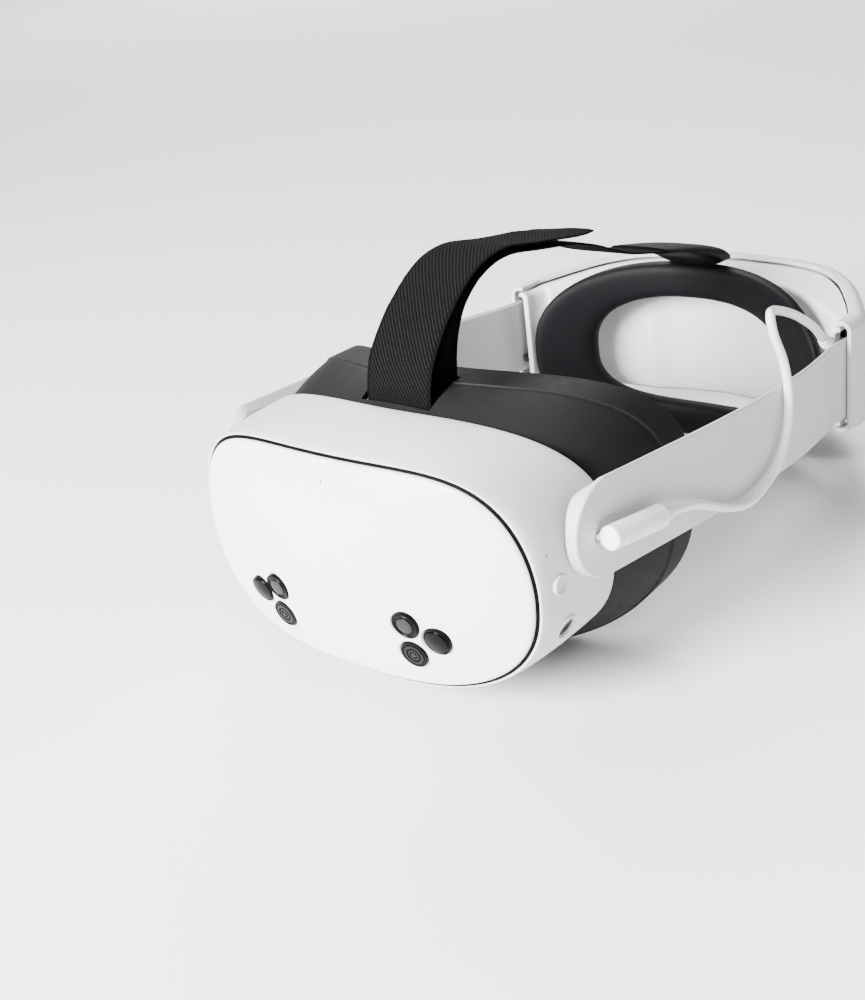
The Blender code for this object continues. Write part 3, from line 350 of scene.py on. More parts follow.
# ---------------------------------------------------------------- materials
class Look:
    """A material under construction: its nodes, and short ways to add the usual ones."""

    def __init__(self, name, color, roughness, metallic=0.0, **sockets):
        self.material = bpy.data.materials.new(name)
        self.material.use_nodes = True
        self.tree = self.material.node_tree
        self.shader = self.tree.nodes["Principled BSDF"]
        self.shader.inputs["Base Color"].default_value = (*color, 1)
        self.shader.inputs["Roughness"].default_value = roughness
        self.shader.inputs["Metallic"].default_value = metallic
        for key, value in sockets.items():
            self.shader.inputs[key.replace("_", " ")].default_value = value
        self.place = self.node("ShaderNodeTexCoord").outputs["Object"]

    def node(self, kind, **inputs):
        made = self.tree.nodes.new(kind)
        for key, value in inputs.items():
            self.feed(made.inputs[key.replace("_", " ")], value)
        return made

    def feed(self, socket, value):
        if isinstance(value, bpy.types.NodeSocket):
            self.tree.links.new(value, socket)
        else:
            socket.default_value = value

    def math(self, operation, a, b=None):
        made = self.tree.nodes.new("ShaderNodeMath")
        made.operation = operation
        self.feed(made.inputs[0], a)
        if b is not None:
            self.feed(made.inputs[1], b)
        return made.outputs[0]

    def plus(self, a, b):
        return self.math("ADD", a, b)

    def minus(self, a, b):
        return self.math("SUBTRACT", a, b)

    def times(self, a, b):
        return self.math("MULTIPLY", a, b)

    def waves(self, value, pitch):
        """A sine wave of value, between 0 and 1."""
        swing = self.math("SINE", self.times(value, 2 * math.pi / pitch))
        return self.plus(self.times(swing, 0.5), 0.5)

    def noise(self, scale, detail=3.0, place=None):
        made = self.node("ShaderNodeTexNoise", Vector=place or self.place, Scale=scale, Detail=detail)
        return made.outputs["Fac"]

    def between(self, factor, low, high):
        """A number that runs from low to high as factor runs from 0 to 1."""
        made = self.node("ShaderNodeMapRange", Value=factor)
        made.inputs["To Min"].default_value = low
        made.inputs["To Max"].default_value = high
        return made.outputs["Result"]

    def blend(self, factor, one, two):
        made = self.tree.nodes.new("ShaderNodeMix")
        made.data_type = "RGBA"
        self.feed(made.inputs["Factor"], factor)
        for socket, color in zip([s for s in made.inputs if s.type == "RGBA"], (one, two)):
            self.feed(socket, (*color, 1) if isinstance(color, tuple) else color)
        return [s for s in made.outputs if s.type == "RGBA"][0]

    def bump(self, height, strength, distance):
        made = self.node("ShaderNodeBump", Height=height, Strength=strength, Distance=distance)
        earlier = self.shader.inputs["Normal"]
        if earlier.is_linked:
            self.tree.links.new(earlier.links[0].from_socket, made.inputs["Normal"])
        self.tree.links.new(made.outputs["Normal"], earlier)

    def tint(self, factor, one, two):
        self.tree.links.new(self.blend(factor, one, two), self.shader.inputs["Base Color"])

    def rough(self, factor, low, high):
        self.tree.links.new(self.between(factor, low, high), self.shader.inputs["Roughness"])


def shade(color, factor):
    return tuple(min(c * factor, 1.0) for c in color)


def surface(name, color, roughness, tint, rough, bumps=(), **sockets):
    """A material whose colour, gloss and height vary with noise.

    tint and rough are (scale, detail, low, high). Each bump is (scale, detail, strength, distance).
    """
    look = Look(name, color, roughness, **sockets)
    look.tint(look.noise(*tint[:2]), *tint[2:])
    look.rough(look.noise(*rough[:2]), *rough[2:])
    for scale, detail, strength, distance in bumps:
        look.bump(look.noise(scale, detail), strength, distance)
    return look.material


def moulded(name, color, roughness, grain=1800, depth=0.00003, spread=0.03, **sockets):
    """Moulded plastic: a fine grain, slow colour drift and uneven gloss."""
    tint = (18, 2, shade(color, 1 - spread), shade(color, 1 + spread))
    rough = (140, 4, roughness - 0.05, roughness + 0.05)
    return surface(name, color, roughness, tint, rough, [(grain, 2, 0.35, depth)], **sockets)


def silicone(name, color):
    """Matt silicone rubber: soft sheen, dust-fine mottling and a slightly soapy gloss."""
    tint = (26, 4, shade(color, 0.86), shade(color, 1.16))
    bumps = [(2600, 2, 0.4, 0.00003), (60, 2, 0.15, 0.0002)]
    return surface(name, color, 0.6, tint, (220, 5, 0.48, 0.66), bumps, Specular_IOR_Level=0.10)


def webbing():
    """Woven twill: steep diagonal ribs of dark thread with lighter thread between, and a plain bound edge."""
    look = Look("strap_webbing", (0.02, 0.02, 0.022), 0.85, Specular_IOR_Level=0.05)
    uv = look.node("ShaderNodeTexCoord").outputs["UV"]
    parts = look.node("ShaderNodeSeparateXYZ", Vector=uv)
    across, along = parts.outputs["X"], parts.outputs["Y"]
    jitter = look.times(look.minus(look.noise(700, 2, uv), 0.5), 0.0006)
    lean = look.minus(look.times(across, 0.82), look.times(along, 0.57))
    rib = look.waves(look.plus(lean, jitter), RIB_PITCH)
    thread = look.waves(look.plus(along, jitter), THREAD_PITCH)
    gap = look.math("POWER", look.minus(1.0, rib), 2.2)
    light = look.times(gap, look.between(thread, 0.35, 1.0))
    edge = look.math("GREATER_THAN", look.math("ABSOLUTE", across), STRAP_WIDTH / 2 - 0.0016)
    light = look.times(light, look.between(edge, 1.0, 0.35))
    light = look.times(light, look.between(look.noise(420, 3, uv), 0.55, 1.25))
    look.tint(light, (0.0010, 0.0010, 0.0011), (0.0135, 0.0138, 0.0145))
    look.bump(look.plus(rib, look.times(thread, 0.35)), 0.8, 0.00035)
    look.bump(look.noise(5200, 2, uv), 0.5, 0.0001)
    return look.material


def metal(name, color, roughness, stretch):
    look = Look(name, color, roughness, 1.0)
    scaled = look.node("ShaderNodeMapping", Vector=look.place)
    scaled.inputs["Scale"].default_value = stretch
    lines = look.noise(300, 4, scaled.outputs["Vector"])
    look.tint(lines, shade(color, 0.88), shade(color, 1.08))
    look.rough(lines, roughness - 0.08, roughness + 0.1)
    look.bump(lines, 0.25, 0.00004)
    return look.material


def glassy(name, color, roughness=0.06, specular=0.09):
    tint = (200, 2, shade(color, 0.9), shade(color, 1.15))
    rough = (90, 3, roughness, roughness + 0.05)
    return surface(name, color, roughness, tint, rough, Specular_IOR_Level=specular)


def circuit(name):
    """A printed circuit board: copper tracks and pads under green mask."""
    look = Look(name, (0.015, 0.10, 0.05), 0.4)
    cells = look.node("ShaderNodeTexVoronoi", Vector=look.place, Scale=260.0)
    cells.distance = "CHEBYCHEV"
    pads = look.math("GREATER_THAN", cells.outputs["Distance"], 0.42)
    look.tint(pads, (0.012, 0.085, 0.045), (0.05, 0.22, 0.10))
    look.bump(cells.outputs["Distance"], 0.4, 0.0002)
    look.rough(look.noise(120, 3), 0.3, 0.5)
    return look.material


COVER = moulded("cover_satin", (0.83, 0.825, 0.82), 0.34, grain=2600, depth=0.00001, spread=0.008,
                Coat_Weight=0.15)
# Shell and arm plastic: the same white as the cover and inner housing, made a darker grey as painted shade for
# surfaces that face away from the key light. The buttons, housing cover and dial share the shell's plastic, so
# they carry the same painted shade.
SHELL_PAINTED_SHADE = moulded("shell_plastic_painted_shade", (0.60, 0.60, 0.605), 0.46, grain=2200, depth=0.00002, spread=0.015)
ARM_PAINTED_SHADE = moulded("arm_plastic", (0.56, 0.56, 0.565), 0.46, grain=2200, depth=0.00002, spread=0.02)
INNER = moulded("inner_plastic", (0.72, 0.72, 0.725), 0.5, grain=1500, depth=0.00003, spread=0.02)
DARK = moulded("dark_plastic", (0.012, 0.012, 0.013), 0.5, grain=1400, spread=0.08, Specular_IOR_Level=0.35)
VENT = moulded("vent_rubber", (0.002, 0.002, 0.0022), 0.6, grain=1800, Specular_IOR_Level=0.05)
SKIN = silicone("face_silicone", (0.0092, 0.0094, 0.0102))
RUBBER = silicone("ring_rubber", (0.0030, 0.0034, 0.0042))
WEB = webbing()
CABLE = surface("cable_skin", (0.80, 0.80, 0.79), 0.32, (40, 3, (0.76, 0.76, 0.75), (0.83, 0.83, 0.82)),
                (160, 3, 0.25, 0.4), [(900, 2, 0.2, 0.00004)], Coat_Weight=0.35, Coat_Roughness=0.15)
PLUG = moulded("plug_plastic", (0.84, 0.84, 0.83), 0.28, grain=2400, depth=0.00001, spread=0.01,
               Coat_Weight=0.3)
STEEL = metal("steel", (0.56, 0.56, 0.57), 0.28, (1, 1, 30))
ALUMINIUM = metal("aluminium", (0.62, 0.62, 0.63), 0.36, (40, 1, 1))
BOARD = circuit("board")
CELL = surface("cell_wrap", (0.05, 0.10, 0.22), 0.35, (60, 4, (0.04, 0.085, 0.19), (0.07, 0.13, 0.27)),
               (300, 3, 0.28, 0.42), [(500, 3, 0.3, 0.0001)])
GLASS = surface("lens_glass", (0.95, 0.97, 1.0), 0.03, (8, 1, (0.93, 0.96, 1.0), (1.0, 1.0, 1.0)),
                (50, 2, 0.02, 0.05), Transmission_Weight=0.9, IOR=1.49)
SCREEN = glassy("screen", (0.006, 0.006, 0.010))
LENS_BLACK = glassy("camera_glass", (0.0012, 0.0012, 0.0013), 0.12, 0.05)
LENS_RIM = glassy("camera_rim", (0.0030, 0.0030, 0.0032), 0.22, 0.06)
LENS_GREY = glassy("camera_grey", (0.019, 0.019, 0.0195), 0.35, 0.10)
LENS_FACE = glassy("camera_face", (0.009, 0.009, 0.0092), 0.3, 0.08)
LENS_MID = glassy("camera_mid", (0.0018, 0.0018, 0.0020), 0.12, 0.08)

# ---------------------------------------------------------------- visor outside
def cover_ring(grow, depth):
    return swept_ring(superellipse(grown(COVER_HALF, grow), COVER_POWER), depth, COVER_SWEEP, COVER_HALF[0])


def dome_depth(x, z):
    """y of the front cover's outer face at (x, z)."""
    r = share_of_outline(x, z, COVER_HALF, COVER_POWER)
    return COVER_SWEEP * (x / COVER_HALF[0]) ** 2 - DOME * (1 - r ** DOME_POWER)


def dome_normal(x, z):
    """The way the front cover faces at (x, z)."""
    step = 0.0002
    slope_x = (dome_depth(x + step, z) - dome_depth(x - step, z)) / (2 * step)
    slope_z = (dome_depth(x, z + step) - dome_depth(x, z - step)) / (2 * step)
    return Vector((slope_x, -1, slope_z)).normalized()


def dome_ring(r, inward):
    line = superellipse([r * size for size in COVER_HALF], COVER_POWER)
    return [Vector((x, dome_depth(x, z) + inward, z)) for x, z in line]


def rounded(start, corner, end, steps):
    """Rings that turn a soft corner from start to end."""
    return [[a * (1 - t) ** 2 + b * 2 * t * (1 - t) + c * t * t for a, b, c in zip(start, corner, end)]
            for t in [k / steps for k in range(steps + 1)]]


def camera_places():
    """Kind, side, place on the cover and facing of each camera window."""
    for kind, (x, z) in CAMERAS.items():
        for side, label in ((1, "left"), (-1, "right")):
            normal = Vector((side * CAMERA_FACE[0], CAMERA_FACE[1], CAMERA_FACE[2])).normalized()
            yield kind, label, Vector((side * x, dome_depth(x, z), z)), normal


def front_cover():
    rings = [dome_ring(0.96 * k / 26, 0) for k in range(1, 26)]
    rings += rounded(dome_ring(0.975, 0), dome_ring(0.999, 0), cover_ring(0.0, 0.0012), 8)
    rings += [cover_ring(0.0, 0.0040), cover_ring(-0.0022, 0.0040)]
    rings += [dome_ring(r * 0.965, 0.0022) for r in (0.95, 0.8, 0.6, 0.4, 0.2, 0.04)]
    cutters = []
    for _, _, place, normal in camera_places():
        hole = CAMERA_RADIUS + 0.00015
        profile = [(hole, -0.008), (hole, -0.0004), (hole + 0.0004, 0.0001), (hole + 0.0014, 0.0030)]
        cutters.append(lathe(profile, place, normal, 96))
    for x, z in COVER_MICS:
        cutters.append(cylinder(MIC_RADIUS, 0.0060, (x, dome_depth(x, z), z), dome_normal(x, z), 24))
    return piece("front_cover_shell", carve(loft(rings), cutters), COVER, "front_cover", 30)


def vent_gasket():
    """The black band between the cover and the shell's lip: a narrow cone that runs back and out."""
    a, b = 0.00006, LIP - 0.00006
    profile = [(a, 0.0012), (a + 0.0001, 0.0010), (b - 0.0001, 0.0015), (b, 0.0017), (b, 0.0052), (a, 0.0052)]
    rings = [cover_ring(grow, depth) for grow, depth in profile]
    return piece("vent_gasket_ring", loft(rings, around=True), VENT, "vent_gasket", 50)


def flared(start, end, k):
    """From start to end as k runs from 0 to 1, in an elliptic curve that bulges outwards."""
    reach = math.sqrt(1 - (1 - k) ** 2) if abs(end) > abs(start) else k * k
    return start + (end - start) * reach


def shell_ring(k, inward=0.0):
    """Section of the shell, k from 0 at the front lip to 1 at the rear edge."""
    front = cover_ring(LIP + LIP_WALL - inward, LIP_DEPTH)
    outline = superellipse(grown(SHELL_HALF, -inward), SHELL_POWER)
    rear = swept_ring(outline, SHELL_DEPTH, SHELL_SWEEP, SHELL_HALF[0], SHELL_RISE)
    return [Vector((flared(a.x, b.x, k), a.y + (b.y - a.y) * k, flared(a.z, b.z, k)))
            for a, b in zip(front, rear)]


def shell_side(y, z):
    """x of the shell's outer side at y and z."""
    front = COVER_SWEEP + LIP_DEPTH
    share = (y - front) / (SHELL_DEPTH + SHELL_SWEEP - front)
    half_width = flared(COVER_HALF[0] + LIP + LIP_WALL, SHELL_HALF[0], share)
    power = SHELL_POWER[0][0]
    return half_width * (1 - abs((z - SHELL_RISE) / SHELL_HALF[1]) ** power) ** (1 / power)


def side_camera_seat(side):
    """Where a side camera sits on the shell, and the way it looks: outwards and down."""
    place = Vector((side * (shell_side(SIDE_CAMERA_Y, SIDE_CAMERA_Z) - 0.0001), SIDE_CAMERA_Y, SIDE_CAMERA_Z))
    return place, Vector((side * math.cos(SIDE_CAMERA_TILT), -0.06, -math.sin(SIDE_CAMERA_TILT))).normalized()


def visor_shell():
    lip = cover_ring(LIP, LIP_DEPTH + 0.0007)
    outer = rounded(lip, cover_ring(LIP + 0.0001, LIP_DEPTH), shell_ring(0.010), 5)
    outer += [shell_ring((k / 24) ** 1.7) for k in range(3, 24)]
    outer += rounded(shell_ring(0.99), shell_ring(1.0), shell_ring(1.0, 0.0006), 3)
    inner = [shell_ring(1.0, SHELL_WALL)] + [shell_ring(k, SHELL_WALL) for k in (0.85, 0.7, 0.5, 0.3)]
    inner += [cover_ring(LIP, 0.0060)]
    body = loft(outer + inner, around=True)
    joined = [block((0.100, 0.014, 0.0030), (0, UNDER_Y, UNDER_Z + 0.0013), 0.0006)]
    cutters = []
    r = SIDE_CAMERA_RADIUS
    for side in (1, -1):
        place, axis = side_camera_seat(side)
        collar = [(0.3 * r, -0.003), (r + 0.0022, -0.003), (r + 0.0018, 0.0), (r + 0.0014, 0.0004),
                  (r + 0.0009, 0.0005), (0.3 * r, 0.0005)]
        joined.append(lathe(collar, place, axis, 72))
        hole = [(r + 0.0001, -0.012), (r + 0.0001, -0.0008), (r + 0.0010, 0.0008), (r + 0.0020, 0.003)]
        cutters.append(lathe(hole, place, axis, 72))
        cutters.append(cylinder(PIN_RADIUS + GAP, 0.02, (side * 0.090, PIVOT_Y, PIVOT_Z), (1, 0, 0)))
    cutters.append(cylinder(BUTTON_RADIUS + 0.00022, 0.02, (0.090, BUTTON_Y, BUTTON_Z), (1, 0, 0)))
    cutters.append(cylinder(MIC_RADIUS, 0.008, (shell_side(*SIDE_MIC), *SIDE_MIC), (1, 0, 0), 20))
    cutters.append(block((0.0206, 0.0056, 0.012), (ROCKER_X, UNDER_Y, UNDER_Z), 0.0012))
    cutters.append(cylinder(0.0038, 0.012, (ACTION_X, UNDER_Y, UNDER_Z), (0, 0, 1)))
    body = carve(carve(body, joined, "UNION"), cutters)
    return piece("visor_shell_body", body, SHELL_PAINTED_SHADE, "visor_shell", 32)


def banded(mesh, place, axis, bands):
    """Gives each face a material by its distance from an axis: bands lists (radius, material number)."""
    axis = Vector(axis).normalized()
    for face in mesh.polygons:
        offset = face.center - Vector(place)
        radius = (offset - axis * offset.dot(axis)).length
        face.material_index = next(number for reach, number in bands if radius <= reach)
    return mesh


def camera_module(kind, label, seat, normal):
    """A camera window, a little proud of the front cover, with its own stepped rings."""
    place = seat + normal * 0.0007
    r = CAMERA_RADIUS
    if kind == "color_camera":
        profile = [(0.0004, 0.0002), (0.0018, 0.00018), (0.0033, 0.0001), (0.0036, -0.0001),
                   (0.0038, -0.0004), (0.0046, -0.0004), (0.0048, -0.0001), (0.0051, 0.0), (0.0053, -0.0002),
                   (0.0056, -0.0002)]
        bands = [(0.0036, 2), (0.0046, 0), (0.0056, 1), (1, 0)]
    elif kind == "depth_light":
        profile = [(0.0003, 0.0003), (0.0009, 0.0002), (0.0011, -0.0003), (0.0017, -0.0003), (0.0019, 0.0),
                   (0.0026, 0.0), (0.0028, -0.0004), (0.0032, -0.0004), (0.0034, 0.0), (0.0046, 0.0),
                   (0.0048, -0.0003), (0.0052, -0.0003), (0.0054, 0.0)]
        bands = [(0.0010, 2), (0.0018, 1), (0.0026, 3), (0.0033, 0), (0.0046, 3), (0.0052, 0), (1, 1)]
    else:
        profile = [(r * t, 0.0010 * (1 - t * t)) for t in (0.06, 0.2, 0.35, 0.5, 0.62, 0.72, 0.8)]
        profile += [(0.0052, 0.0001), (0.0054, -0.0001)]
        bands = [(0.0051, 4), (1, 0)]
    profile += [(r - 0.0005, 0.0), (r - 0.0001, -0.0002), (r, -0.0006), (r, -0.0029), (0.0042, -0.0029),
                (0.0042, -0.0045)]
    mesh = banded(lathe(profile, place, normal, 96), place, normal, bands)
    looks = [LENS_BLACK, LENS_RIM, LENS_GREY, LENS_FACE, LENS_MID]
    return piece(f"{kind}_{label}_window", mesh, looks, f"{kind}_{label}", 40)


def cameras():
    made = [camera_module(*spot) for spot in camera_places()]
    r = SIDE_CAMERA_RADIUS
    for side, label in ((1, "left"), (-1, "right")):
        place, axis = side_camera_seat(side)
        profile = [(0.0003, -0.0007), (0.0012, -0.0007), (0.0018, -0.0005), (0.0026, -0.0003),
                   (r - 0.0002, -0.0003), (r, -0.0008), (r, -0.0070)]
        mesh = banded(lathe(profile, place, axis, 72), place, axis, [(0.0012, 2), (0.0018, 1), (1, 0)])
        made.append(piece(f"side_camera_{label}_window", mesh, [LENS_BLACK, LENS_RIM, LENS_MID],
                          f"side_camera_{label}", 40))
    return made


def buttons():
    """The three keys: power on the left side, volume and action under the shell."""
    r = BUTTON_RADIUS
    profile = [(0.0003, 0.0006), (0.0008, 0.00055), (0.0011, 0.0002), (0.0022, 0.0002), (0.0029, 0.0005),
               (r - 0.0010, 0.0010), (r - 0.0005, 0.00105), (r - 0.0002, 0.0009), (r, 0.0005), (r, -0.0036),
               (0.0006, -0.0036)]
    power = lathe(profile, (shell_side(BUTTON_Y, BUTTON_Z), BUTTON_Y, BUTTON_Z), (1, 0, 0), 72)
    bar = block((0.0198, 0.0048, 0.0036), (ROCKER_X, UNDER_Y, UNDER_Z + 0.0010), 0.0011, 5)
    profile = [(0.0004, -0.0010), (0.0018, -0.0009), (0.0029, -0.0008), (0.0033, -0.0005), (0.0034, 0.0),
               (0.0034, 0.0030)]
    cap = lathe(profile, (ACTION_X, UNDER_Y, UNDER_Z + 0.0002), (0, 0, 1))
    return [piece(name, mesh, SHELL_PAINTED_SHADE, node, 30)
            for name, mesh, node in (("power_button_cap", power, "power_button"),
                                     ("volume_rocker_bar", bar, "volume_rocker"),
                                     ("action_button_cap", cap, "action_button"))]


# ---------------------------------------------------------------- face cover
def face_ring(k, inward):
    """Section of the face cover: k is 0 inside the shell, 1 at the flange's front edge and 2 at its end."""
    grow = min(k, 1.0)
    base = (0.0868, 0.0474, 0.0474)
    half = [a + (b - a) * grow - inward for a, b in zip(base, FLANGE_HALF)]
    power = [[a + (b - a) * grow for a, b in zip(*ends)] for ends in zip(SHELL_POWER, FLANGE_POWER)]
    front, sweep_front = 0.0369, SHELL_SWEEP
    depth = front + (FLANGE_DEPTH - FLANGE_BAND - front) * grow + FLANGE_BAND * max(k - 1, 0)
    sweep = sweep_front + (FLANGE_SWEEP - sweep_front) * grow
    return swept_ring(superellipse(half, power), depth, sweep, FLANGE_HALF[0], SHELL_RISE * (1 - grow))


def face_cover():
    collar = Vector((0, 0.0034, 0))
    outer = [face_ring(0.0, 0.0), [p + collar for p in face_ring(0.0, 0.0)]]
    outer += [face_ring(0.12 + 0.85 * k / 14, -0.0010 * math.sin(math.pi * k / 14)) for k in range(15)]
    outer += [face_ring(0.985, 0.0002), face_ring(1.0, 0.0001), face_ring(1.01, -0.0004)]
    outer += [face_ring(k, -0.0004 + 0.0003 * (k - 1)) for k in (1.15, 1.3, 1.5, 1.7, 1.85)]
    outer += rounded(face_ring(1.93, -0.0001), face_ring(2.0, 0.0), face_ring(2.0, 0.0016), 5)
    inner = rounded(face_ring(2.0, 0.0108), face_ring(2.0, 0.0124), face_ring(1.92, 0.0128), 4)
    inner += [face_ring(1.75, 0.0132), face_ring(1.55, 0.0110), face_ring(1.3, 0.0060)]
    inner += [face_ring(k, FACE_WALL) for k in (1.0, 0.7, 0.35)]
    inner += [[p + collar for p in face_ring(0.0, FACE_WALL)], face_ring(0.0, FACE_WALL)]
    cutters = [block(STRAP_SLOT, STRAP_SLOT_PLACE, 0.0010)]
    for side in (1, -1):
        cutters.append(cylinder(0.0046, 0.0110, (side * 0.0850, PIVOT_Y, PIVOT_Z), (1, 0, 0), 48))
    return piece("face_cover_skin", carve(loft(outer + inner, around=True), cutters), SKIN, "face_cover",
                 32)


# ---------------------------------------------------------------- straps
def normal_along(line, place):
    """The way a flat strap along a (y, z) line faces at one of its points."""
    ahead = line[min(place + 1, len(line) - 1)] - line[max(place - 1, 0)]
    return Vector((-ahead.y, ahead.x)).normalized()


def strap(name, route, widths, lift, cad):
    """A woven strap along a (y, z) route.

    lift raises a point of its face, from its share of the length and its place across, -1 to 1.
    """
    line = spaced(smooth_line(route, 12), 150)
    length = sum((b - a).length for a, b in zip(line, line[1:]))
    across = 14
    rings, marks = [], []
    for row, here in enumerate(line):
        share = row / (len(line) - 1)
        half = (widths[0] + (widths[1] - widths[0]) * share) / 2
        half += 0.00018 * noise.noise(Vector((row * 0.35, 4.2, 0)))
        normal = normal_along(line, row)
        marks += [(-half + 2 * half * k / across, share * length) for k in range(across + 1)]
        marks += [(half - 2 * half * k / across, share * length + 0.5) for k in range(across + 1)]
        ring = []
        for k, (x, _) in enumerate(marks[-2 * (across + 1):]):
            side = 1 if k <= across else -1
            edge = 1 - 0.45 * (abs(x) / half) ** 14
            place = here + normal * (side * edge * STRAP_THICK / 2 + lift(share, x / half))
            ring.append(Vector((x, place.x, place.y)))
        rings.append(ring)
    mesh = loft(rings)
    uv = mesh.uv_layers.new(name="weave")
    for loop in mesh.loops:
        uv.data[loop.index].uv = marks[loop.vertex_index]
    made = piece(name, mesh, WEB, cad, 50)
    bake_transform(made)


def front_lift(share, across):
    """The tail's end curls up at its far corner, and the loop bows a little across its width."""
    tail = max(0.0, 1 - share / 0.055)
    bow = ease(0.03, 0.12, share) * ease(0.42, 0.3, share)
    return 0.0019 * tail ** 1.5 * ease(0.6, -1.0, across) - 0.0009 * bow * max(across, 0) ** 2


def straps():
    strap("top_strap_front_web", STRAP_FRONT, (STRAP_WIDTH, STRAP_WIDTH), front_lift, "top_strap_front")
    strap("top_strap_rear_web", STRAP_REAR, (STRAP_WIDTH, STRAP_REAR_WIDTH), lambda share, across: 0.0,
          "top_strap_rear")


def strap_tab():
    """The rubber tongue that holds the rear strap and rests on the ring."""
    sections = []
    for y, low, high, half in spaced(smooth_line(TAB, 8), 40):
        middle, tall = (low + high) / 2, (high - low) / 2
        sections.append([Vector((half * powered(c, 3.4), y, middle + tall * powered(s, 2.6)))
                         for c, s in turns(64)])
    last = sections[-1]
    centre = sum(last, Vector()) / len(last)
    for share, back in ((0.86, 0.0008), (0.55, 0.0014), (0.2, 0.0017)):
        sections.append([centre + (p - centre) * share + Vector((0, back, 0)) for p in last])
    line = spaced(smooth_line(STRAP_REAR, 6), 60)
    rings = []
    for row, here in enumerate(line):
        normal = normal_along(line, row) * (STRAP_THICK / 2 + 0.00025)
        half = STRAP_REAR_WIDTH / 2 + 0.0012
        corners = [(-half, here + normal), (half, here + normal), (half, here - normal), (-half, here - normal)]
        rings.append([Vector((x, p.x, p.y)) for x, p in corners])
    tongue = carve(loft(sections), [loft(rings)])
    return piece("strap_tab_tongue", tongue, RUBBER, "strap_tab", 40)


# ---------------------------------------------------------------- strap arms
ARM_LINE = smooth_line(ARM_PLAN, 8)


def arm_outer(y):
    if y <= ARM_LINE[0].y:
        a, b = ARM_LINE[0], ARM_LINE[4]
        return a.x + (b.x - a.x) * (y - a.y) / (b.y - a.y)
    for a, b in zip(ARM_LINE, ARM_LINE[1:]):
        if a.y <= y <= b.y:
            return a.x + (b.x - a.x) * (y - a.y) / (b.y - a.y)
    return ARM_LINE[-1].x


def arm_inner(y):
    band = arm_outer(y) - ARM_WALL
    pod = POD_INNER + (max(POD_INNER, arm_outer(y) - 0.0052) - POD_INNER) * ease(0.072, 0.077, y)
    return pod + (band - pod) * ease(0.098, 0.108, y)


def arm_outline():
    """Side outline of an arm: (point, the spine point it belongs to, how much it flares) triples, as (y, z)."""
    half = ARM_HEIGHT / 2 + 0.0006
    turn = math.acos(half / POD_RADIUS)
    front = POD_Y - POD_RADIUS * math.sin(turn)
    found = []
    ys = [front + (ARM_END - front) * k / 66 for k in range(67)]
    for y in reversed(ys):
        found.append((Vector((y, arm_middle(y) + half)), Vector((y, arm_middle(y))), 0.0))
    for k in range(1, 48):
        angle = math.pi / 2 + turn + (math.pi - 2 * turn) * k / 48
        out = Vector((math.cos(angle), math.sin(angle)))
        centre = Vector((POD_Y, arm_middle(POD_Y)))
        place = centre + out * POD_RADIUS
        spine = Vector((front, arm_middle(front)))
        found.append((place, spine, ease(-0.02, -0.95, math.cos(angle))))
    for y in ys:
        found.append((Vector((y, arm_middle(y) - half)), Vector((y, arm_middle(y))), 0.0))
    for k in range(1, 8):
        rise = -half + 2 * half * k / 8
        spine = Vector((ARM_END - 0.002, arm_middle(ARM_END)))
        found.append((Vector((ARM_END, arm_middle(ARM_END) + rise)), spine, 0.0))
    return found


def foot_reach(place):
    """x that the arm's round foot reaches in to, clear of the shell over the hinge's whole swing."""
    pivot = Vector((PIVOT_Y, PIVOT_Z))
    spots = [pivot + Matrix.Rotation(math.radians(turn), 2) @ (place - pivot) for turn in range(-20, 21, 5)]
    return max(shell_side(spot.x, spot.y) for spot in spots) + 0.0004


def strap_arm(side, label):
    """An arm as rings from the middle of its outer face, round its edge, to the middle of its inner face.

    Behind the outer edge the straight sides slope in, and the round front runs out to a wider foot.
    """
    outline = arm_outline()

    def ring(inset, depth_of, flare=0.0):
        made = []
        for place, spine, spread in outline:
            thick = arm_outer(place.x) - arm_inner(place.x)
            if spread and inset < 0.002:
                thick += (POD_INNER - foot_reach(place)) * spread
            depth = depth_of(thick)
            tuck = max(0.0, depth - 0.0012) * 0.85 * (1 - spread)
            way = place - spine
            at = spine + way * max(0.0, 1 - (inset + tuck) / way.length) + way.normalized() * flare * spread
            made.append(Vector((side * (arm_outer(at.x) - depth), at.x, at.y)))
        return made

    def full(thick):
        return thick

    edge = 0.0010
    rings = [ring(inset, lambda thick: 0.0) for inset in (1.0, 0.018, 0.014, 0.010, 0.006, 0.003, 0.0018)]
    for angle in (0, 18, 36, 54, 72, 90):
        a = math.radians(angle)
        rings.append(ring(edge * (1 - math.sin(a)), lambda thick, a=a: edge * (1 - math.cos(a))))
    for share in (0.12, 0.25, 0.4, 0.55, 0.7, 0.85, 0.95):
        rings.append(ring(0.0, lambda thick, share=share: edge + (thick - edge) * share, FLARE * share ** 1.2))
    rings.append(ring(0.0004, full, FLARE))
    rings += [ring(inset, full, FLARE * 0.5) for inset in (0.004, 0.010, 0.014)] + [ring(1.0, full)]
    body = loft(rings, capped=False)
    speaker = (side * arm_inner(SPEAKER_Y), SPEAKER_Y, arm_middle(SPEAKER_Y))
    cutters = [cylinder(PIN_RADIUS + GAP, 0.0060, (side * 0.0921, PIVOT_Y, PIVOT_Z), (1, 0, 0)),
               cylinder(SPEAKER_RADIUS + GAP, 0.0052, speaker, (1, 0, 0))]
    if side > 0:
        face = arm_outer(PORT_Y)
        cutters.append(rounded_bar(0.0110, 0.0052, 0.0070, (face, PORT_Y, PORT_Z)))
        cutters.append(oval_groove())
    return piece(f"strap_arm_{label}_band", carve(body, cutters), ARM_PAINTED_SHADE, f"strap_arm_{label}", 32)


